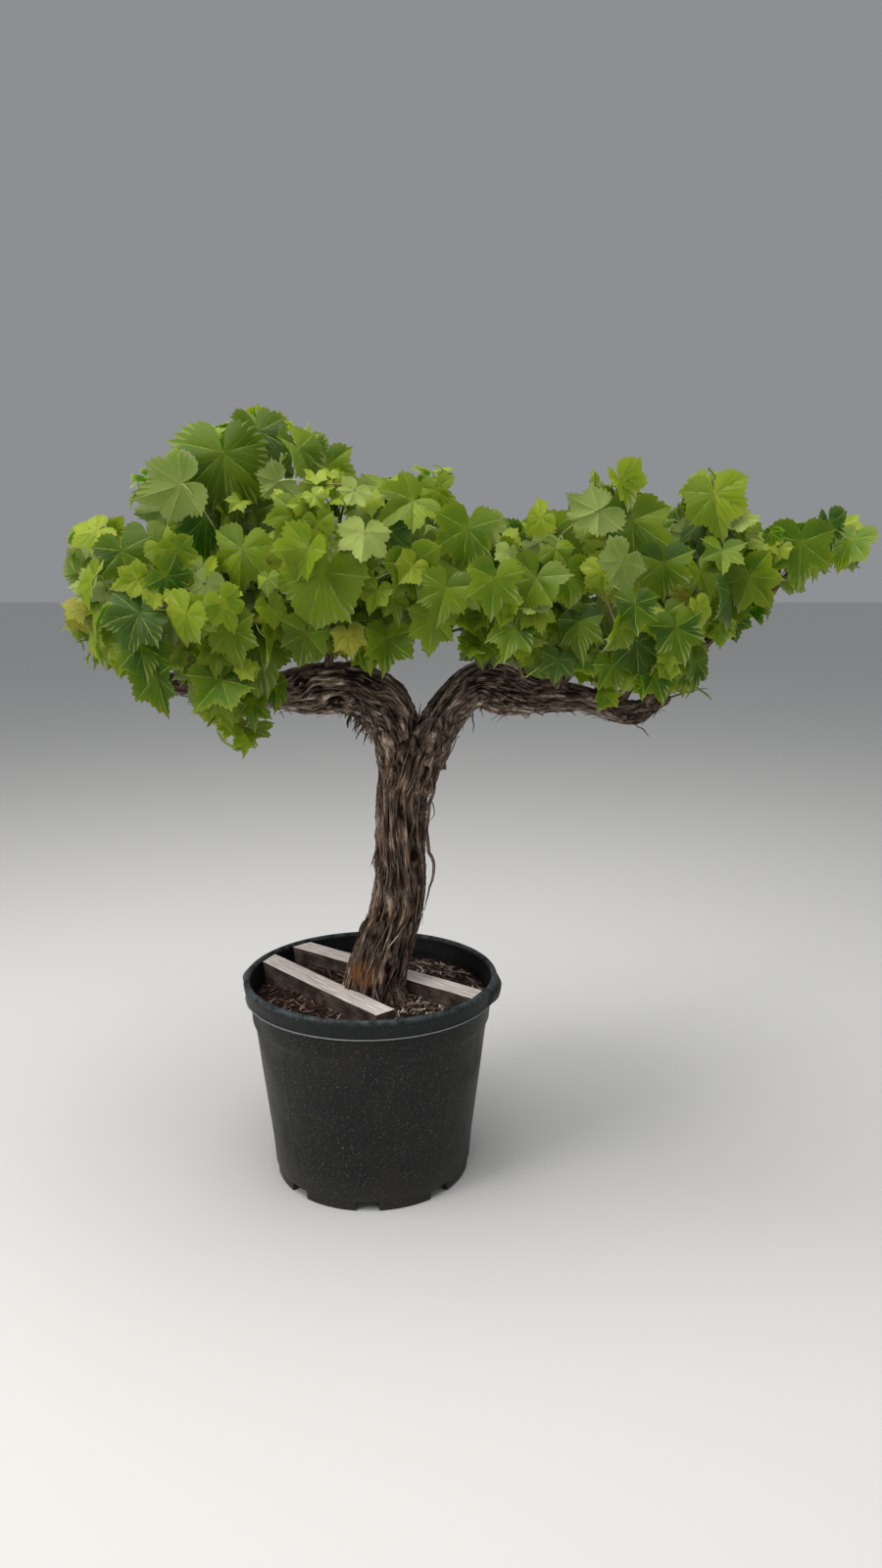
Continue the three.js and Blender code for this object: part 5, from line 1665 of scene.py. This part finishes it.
def seen_leaf(u, v, width, lean, turn, finish_name):
    """The foremost place on a leaf's line of sight where it fits, with a shoot behind it."""
    roll = dice(31 * u + v)
    lean, turn = np.radians(lean), np.radians(turn)
    face = unit(np.array([np.sin(turn), -np.cos(turn), 0.3]) + jitter(roll) * pose["seen_stray"])
    tip = np.array([np.sin(lean), 0.0, -np.cos(lean)])
    tip = unit(tip - face * (tip @ face))
    across = np.cross(tip, face)
    for smaller in seen_sizes:
        for depth in range(*seen_depths):
            blade = {"hub": through_view(u, v, depth), "face": face, "tip": tip, "across": across,
                     "width": width * smaller, "cup": between(roll, -0.5, 0.05), "young": False,
                     "tone": finish_name}
            start, end = crown.lines(blade)
            if not in_crown(end, seen_beyond) or not off_limbs(end) or not crown.fits(blade, start, end):
                continue
            for mass in masses:
                blade["root"], stalk_length = nearest_on(mass["lines"], blade["hub"])
                if seen_stalk[0] < stalk_length < seen_stalk[1]:
                    blade["stalk"] = unit(blade["hub"] - blade["root"])
                    if finish_name.startswith("under"):
                        blade = {**turn_over(blade), "tone": "young" if "young" in finish_name else "mid"}
                    crown.take(blade, start, end)
                    crown.show(blade)
                    mass["placed"].append(blade)
                    return True
    return False


# %% Leaves that the rule adds
def place_leaf(mass, lines, first, size, cup, roll):
    """Tries places and turns along the shoots and takes the emptiest of those that fit."""
    fitting = []
    for attempt in range(leaf["tries"]):
        if len(fitting) >= leaf["choices"]:
            break
        points = lines[(first + attempt) % len(lines)]
        share = between(roll, leaf["first"], leaf["last"])
        at, step = along_line(points, share)
        growth = unit(step)
        sideways = unit(np.cross(growth, (0, 0, 1)))
        growth = unit(growth + sideways * (1 if attempt % 2 else -1))
        blade = blade_at(at, growth, roll)
        blade.update(width=size, cup=cup, young=share > 0.9 and size < 110)
        size = max(size * leaf["shrink"], leaf["smallest"])
        if blade["stalk"] @ blade["face"] < leaf["stalk_slope"]:
            continue
        if roll() < pose["turned_over"]:
            blade = turn_over(blade)
        start, end = crown.lines(blade)
        if past_outline(end) or not in_crown(end) or in_opening(end) or not off_limbs(end):
            continue
        if not crown.hides(end[rim_test:]) and crown.fits(blade, start, end):
            near = crown.centre[:crown.count]
            space = norm(near - blade["hub"], axis=1).min() if crown.count else leaf["most"]
            away = norm(blade["hub"] - mass["centre"])
            fitting.append((min(space, leaf["most"]) + leaf["outer_share"] * away, blade, start, end))
    if not fitting:
        return None
    best = max(fitting, key=lambda entry: entry[0])
    crown.take(*best[1:])
    return best[1]


def place_tip_leaf(points, roll):
    """A small fresh leaf at the growing end of a shoot."""
    for attempt in range(leaf["tip_tries"]):
        growth = unit(unit(points[-1] - points[-2]) + jitter(roll) * 1.5)
        blade = blade_at(points[-1], growth, roll)
        blade["hub"] = blade["root"] + (blade["hub"] - blade["root"]) * 0.4
        width = between(roll, leaf["tip_least"], leaf["tip_most"])
        blade.update(width=width, cup=0.2, young=True)
        start, end = crown.lines(blade)
        if in_crown(end, -8) and not past_outline(end) and crown.fits(blade, start, end):
            crown.take(blade, start, end)
            return blade
    return None


for index, mass in enumerate(masses):
    roll = dice(seeds["finer"] + seeds["mass"] * (index + 1))
    shoots = mass["shoots"]
    mass["twigs"] = side_twigs(mass, shoots, roll)
    mass["lines"] = shoots + mass["twigs"] + shoots + [mass["stem"]]
    mass["placed"] = []
unseen = [row for row in seen_leaves if not seen_leaf(*row)]
print("leaves set from the photograph:", crown.count, "left out:", [row[:2] for row in unseen])

forms = np.random.default_rng(77)
for index, mass in enumerate(masses):
    lines = mass["lines"]
    placed = mass["placed"]
    for i in range(int(mass["leaves"] * more_leaves)):
        own = dice(seeds["mass"] * (index + 1) + seeds["leaf"] * (i + 1))
        cup = forms.uniform(-0.45, -0.1) if forms.uniform() > 0.2 else forms.uniform(0.05, 0.25)
        size = leaf["least"] + (leaf["most"] - leaf["least"]) * forms.beta(2.2, 1.5)
        size = size * smaller_in.get(mass["name"], 1)
        blade = place_leaf(mass, lines, i, size, cup, own)
        if blade is not None:
            placed.append(blade)
    own = dice(seeds["finer"] * (index + 1))
    tips = [place_tip_leaf(points, own) for points in (*mass["shoots"], *lines) for k in range(2)]
    placed.extend(blade for blade in tips if blade is not None)
    print(mass["name"], len(placed))
print("leaves:", crown.count)

# %% [markdown]
# ## Dressing the crown
# Each leaf takes one of a few plain greens, by its age and chance, and by painted light and shade: the
# further out of the crown a leaf lies and the more it faces up, the paler its green, and each lobe may take
# a step paler or darker. A texture on hundreds of joined leaves would smear when it is baked, so the colours
# are whole materials, and the veins are faces of their own. The underside is paler and greyer.

# %% Leaf finishes
# From leaf_fresh to leaf_deep the greens are partly the leaves' own tones and partly painted light and
# shade; leaf_shade is painted shade with a bluish tint as a painted sky sheen. leaf_young and leaf_yellowing
# are the leaves' own colours.
upper_greens = {
    "leaf_young": (0.235, 0.305, 0.015),
    "leaf_fresh": (0.180, 0.255, 0.009),
    "leaf_light": (0.128, 0.194, 0.006),
    "leaf_mid": (0.088, 0.145, 0.004),
    "leaf_full": (0.061, 0.110, 0.003),
    "leaf_deep": (0.029, 0.060, 0.003),
    "leaf_shade": (0.040, 0.081, 0.012),
    "leaf_yellowing": (0.215, 0.205, 0.015),
}
other_greens = {
    "leaf_under": (0.175, 0.238, 0.050),
    "leaf_under_young": (0.250, 0.325, 0.065),
    "vein_upper": (0.225, 0.300, 0.050),
    "side_vein": (0.140, 0.212, 0.017),
    "vein_under": (0.270, 0.345, 0.095),
}


def leaf_finish(name, colour, roughness):
    """A soft shine, and light that soaks through the blade from behind."""
    finish = Finish(name, colour, roughness)
    finish.feed("Specular IOR Level", 0.16)
    finish.feed("Subsurface Weight", 0.3)
    finish.feed("Subsurface Radius", (0.5, 1.0, 0.2))
    finish.feed("Subsurface Scale", 0.008)
    return finish.material


leaf_materials = [leaf_finish(name, colour, 0.44) for name, colour in upper_greens.items()]
leaf_materials += [leaf_finish(name, colour, 0.62) for name, colour in other_greens.items()]
tone_number = {name: i for i, name in enumerate([*upper_greens, *other_greens])}
tone_steps = 6  # the first tones run from pale to dark
# Painted light and shade: the further out of the crown a leaf lies and the more it faces up, the further
# along this ladder, from dark to pale, its green lies.
shade_to_light_ladder = ["leaf_deep", "leaf_shade", "leaf_full", "leaf_mid", "leaf_light", "leaf_fresh"]
tone_limits = [0.5, 0.62, 0.84, 1.06, 1.25]
crown_middle = (150, 60, 1380)
crown_half = (900, 330, 260)


def leaf_tone(blade, luck):
    """Which green a leaf takes, by its age, chance, and painted light and shade by its place in the crown
    and how far it faces up.
    """
    if "tone" in blade:
        return tone_number["leaf_" + blade["tone"]]
    if luck > 0.97 and blade["width"] < 120 and blade["hub"][2] < 1400:
        return tone_number["leaf_yellowing"]
    lit_share = norm((blade["hub"] - crown_middle) / crown_half) + 0.3 * blade["face"][2]
    lit_share = lit_share + 0.55 * (luck - 0.5)
    if blade["young"] and lit_share > 0.75:
        return tone_number["leaf_young"]
    return tone_number[shade_to_light_ladder[int(np.searchsorted(tone_limits, lit_share))]]


# %% Leaf meshes
def add_pattern(bundle, pattern, blades, roll):
    """Adds both skins and the side veins of leaves that share a pattern."""
    shape = leaf_shapes(len(blades), roll)
    shape["cup"] = column(blades, "cup")[:, None]
    luck = roll.uniform(0, 1, len(blades))
    upper = np.array([leaf_tone(blade, share) for blade, share in zip(blades, luck)])[:, None]
    unders = tone_number["leaf_under_young"], tone_number["leaf_under"]
    under = np.where(upper == tone_number["leaf_young"], *unders)
    # Painted light and shade: each lobe may take the next paler or darker green at random, as where the
    # blade folds towards or away from the light.
    lobes = np.cumsum(pattern.on_vein[0])
    lobe_shade_step = roll.choice([-1, 0, 0, 1], (len(blades), lobes[-1] + 1))
    mixed = np.where(upper < tone_steps, np.clip(upper + lobe_shade_step, 0, tone_steps - 1), upper)
    points = pattern.points(blades, shape, roll)
    offsets = np.arange(len(blades))[:, None, None] * points.shape[1]
    faces, tones = [], []
    for name, tone, vein in (("upper", mixed, "vein_upper"), ("lower", under + 0 * lobe_shade_step, "vein_under")):
        for group, on_vein in zip(pattern.faces[name], pattern.on_vein):
            faces.append((group + offsets).reshape(-1, group.shape[1]))
            lobe = np.repeat(lobes, len(on_vein) // len(lobes))
            tones.append(np.where(on_vein[None], tone_number[vein], tone[:, lobe]).ravel())
    bundle.add_toned(points, faces, tones)
    first = np.arange(len(blades))[:, None, None] * len(pattern.spoke)
    for vein, rise in (("side_vein", side_vein_rise), ("vein_under", -side_vein_rise - blade_thickness)):
        turn = 1 if rise < 0 else -1
        side_veins = [(group[:, ::turn] + first).reshape(-1, group.shape[1])
                      for group in (pattern.quads, pattern.ends)]
        bundle.add(pattern.ribbons(blades, points, rise), side_veins, tone_number[vein])


def add_leaves(bundle, blades, roll):
    for least, pattern in patterns.values():
        add_pattern(bundle, pattern, [blade for blade in blades if blade["width"] >= least], roll)
        blades = [blade for blade in blades if blade["width"] < least]


groups = {
    "left_end": ["far_left", "left_top"],
    "left": ["left_front", "left_back", "left_low"],
    "middle": ["middle_left", "middle_back"],
    "right": ["middle_right", "right_middle"],
    "right_side": ["right_front", "right_back", "right_low"],
    "right_end": ["far_right_top", "far_right"],
}
for number, (name, members) in enumerate(groups.items()):
    blades = [blade for mass in masses if mass["name"] in members for blade in mass["placed"]]
    bundle = Bundle(leaf_materials)
    add_leaves(bundle, blades, np.random.default_rng(300 + number))
    bundle.make("leaf_blades_" + name, ["leaves_" + member for member in members])

# %% [markdown]
# ## Stalks, shoots and tendrils
# The shoots of one summer are green, with a swelling at each leaf, and brown near the bough. Each stalk
# bows under its leaf, yellow-green or flushed with red, and a few thin tendrils curl from the tips.


# %% Green wood
def stem_finish(name, colour, other):
    """Smooth green skin with long faint streaks."""
    finish = Finish(name, roughness=0.5)
    streaks = finish.ramp(finish.grain(0.012, detail=2.0), 0.4, 0.65)
    finish.feed("Base Color", finish.blend(streaks, colour, other))
    return finish.material


green_wood = [
    stem_finish("shoot_green", (0.19, 0.235, 0.055), (0.26, 0.30, 0.09)),
    stem_finish("stalk_yellow", (0.38, 0.42, 0.11), (0.48, 0.50, 0.17)),
    stem_finish("stalk_red", (0.30, 0.17, 0.09), (0.36, 0.24, 0.12)),
    stem_finish("shoot_brown", (0.12, 0.072, 0.04), (0.2, 0.125, 0.07)),
]


def finer(points, steps, wobble, seed):
    """A smooth line through a few points, with a slight zigzag."""
    course = Course([(*point, 1, 1) for point in points])
    path = course.at(np.linspace(0, 1, steps))
    side = noise(path / 26 + seed, 9)
    bend = np.stack([side, noise(path / 26 + seed + 40, 9), 0 * side], -1)
    return path + wobble * bend * np.minimum(1, np.arange(steps) / 2)[:, None]


def add_tubes(bundle, paths, radii, sides, tones):
    points, faces = tubes(np.array(paths), np.array(radii), sides)
    bundle.add_toned(points, faces, [np.repeat(tones, len(group) // len(paths)) for group in faces])


def make_shoots():
    bundle = Bundle(green_wood)
    steps = 22
    swelling = 1 + 0.16 * (np.arange(steps) % 4 == 2)
    paths, radii, tones = [], [], []
    for index, mass in enumerate(masses):
        paths.append(finer(mass["stem"], steps, 3, index))
        radii.append(np.linspace(7.6, 5.2, steps) * swelling)
        tones.append(3)
        for number, points in enumerate(mass["shoots"]):
            paths.append(finer(points, steps, 5, number))
            radii.append(np.linspace(4.4, 1.7, steps) * swelling)
            tones.append(0)
    add_tubes(bundle, paths, radii, 7, np.array(tones))
    twigs = [finer(points, 10, 3, 60) for mass in masses for points in mass["twigs"]]
    add_tubes(bundle, twigs, np.linspace(2.3, 1.1, 10)[None], 5, np.zeros(len(twigs), int))
    bundle.make("shoots")


def make_stalks():
    """A stalk for every leaf: it rises from the shoot and joins the hub from the blade's underside."""
    blades = [blade for mass in masses for blade in mass["placed"]]
    root, hub, stalk, size, face, tip = [column(blades, key)
                                         for key in ("root", "hub", "stalk", "width", "face", "tip")]
    hub = hub - face * 0.4
    t = np.linspace(0, 1, 7)[None, :, None]
    length = norm(hub - root, axis=1)[:, None]
    leave = root + stalk * length * 0.45 + np.array([0, 0, 0.1]) * length
    arrive = hub - (face * 0.2 + tip * 0.14) * size[:, None]
    paths = (1 - t) ** 3 * root[:, None] + 3 * t * (1 - t) ** 2 * leave[:, None]
    paths = paths + 3 * t ** 2 * (1 - t) * arrive[:, None] + t ** 3 * hub[:, None]
    radii = (0.9 + size / 190)[:, None] * np.array([1.35, 1.05, 0.95, 0.9, 0.9, 0.95, 1.1])
    roll = np.random.default_rng(9)
    tones = roll.choice([1, 2, 0], len(blades), p=[0.62, 0.2, 0.18])
    bundle = Bundle(green_wood)
    add_tubes(bundle, paths, radii, 4, tones)
    bundle.make("leaf_stalks")


def make_tendrils():
    roll = np.random.default_rng(17)
    bundle = Bundle(green_wood)
    paths = []
    for mass in masses:
        for points in mass["shoots"]:
            if roll.uniform() < 0.55:
                end = points[-1]
                out = unit(outwards(end) + roll.normal(0, 0.35, 3))
                side = unit(np.cross(out, (0.2, 0.1, 1)))
                third = np.cross(side, out)
                t = np.linspace(0, 1, 26)[:, None]
                size = roll.uniform(0.7, 1.3)
                turns = roll.uniform(6, 13)
                curl = np.maximum(0, t - 0.4) * 12 * size
                path = points[-2] * 0.3 + end * 0.7 + out * 58 * size * t
                path[:, 2] -= 16 * t[:, 0] ** 2
                path = path + side * curl * np.sin(turns * t) + third * curl * np.cos(turns * t)
                if in_crown(path) and not past_outline(path) and not in_opening(path):
                    paths.append(path)
    add_tubes(bundle, paths, np.linspace(0.9, 0.45, 26)[None], 4, np.full(len(paths), 1))
    bundle.make("tendrils")


make_shoots()
make_stalks()
make_tendrils()
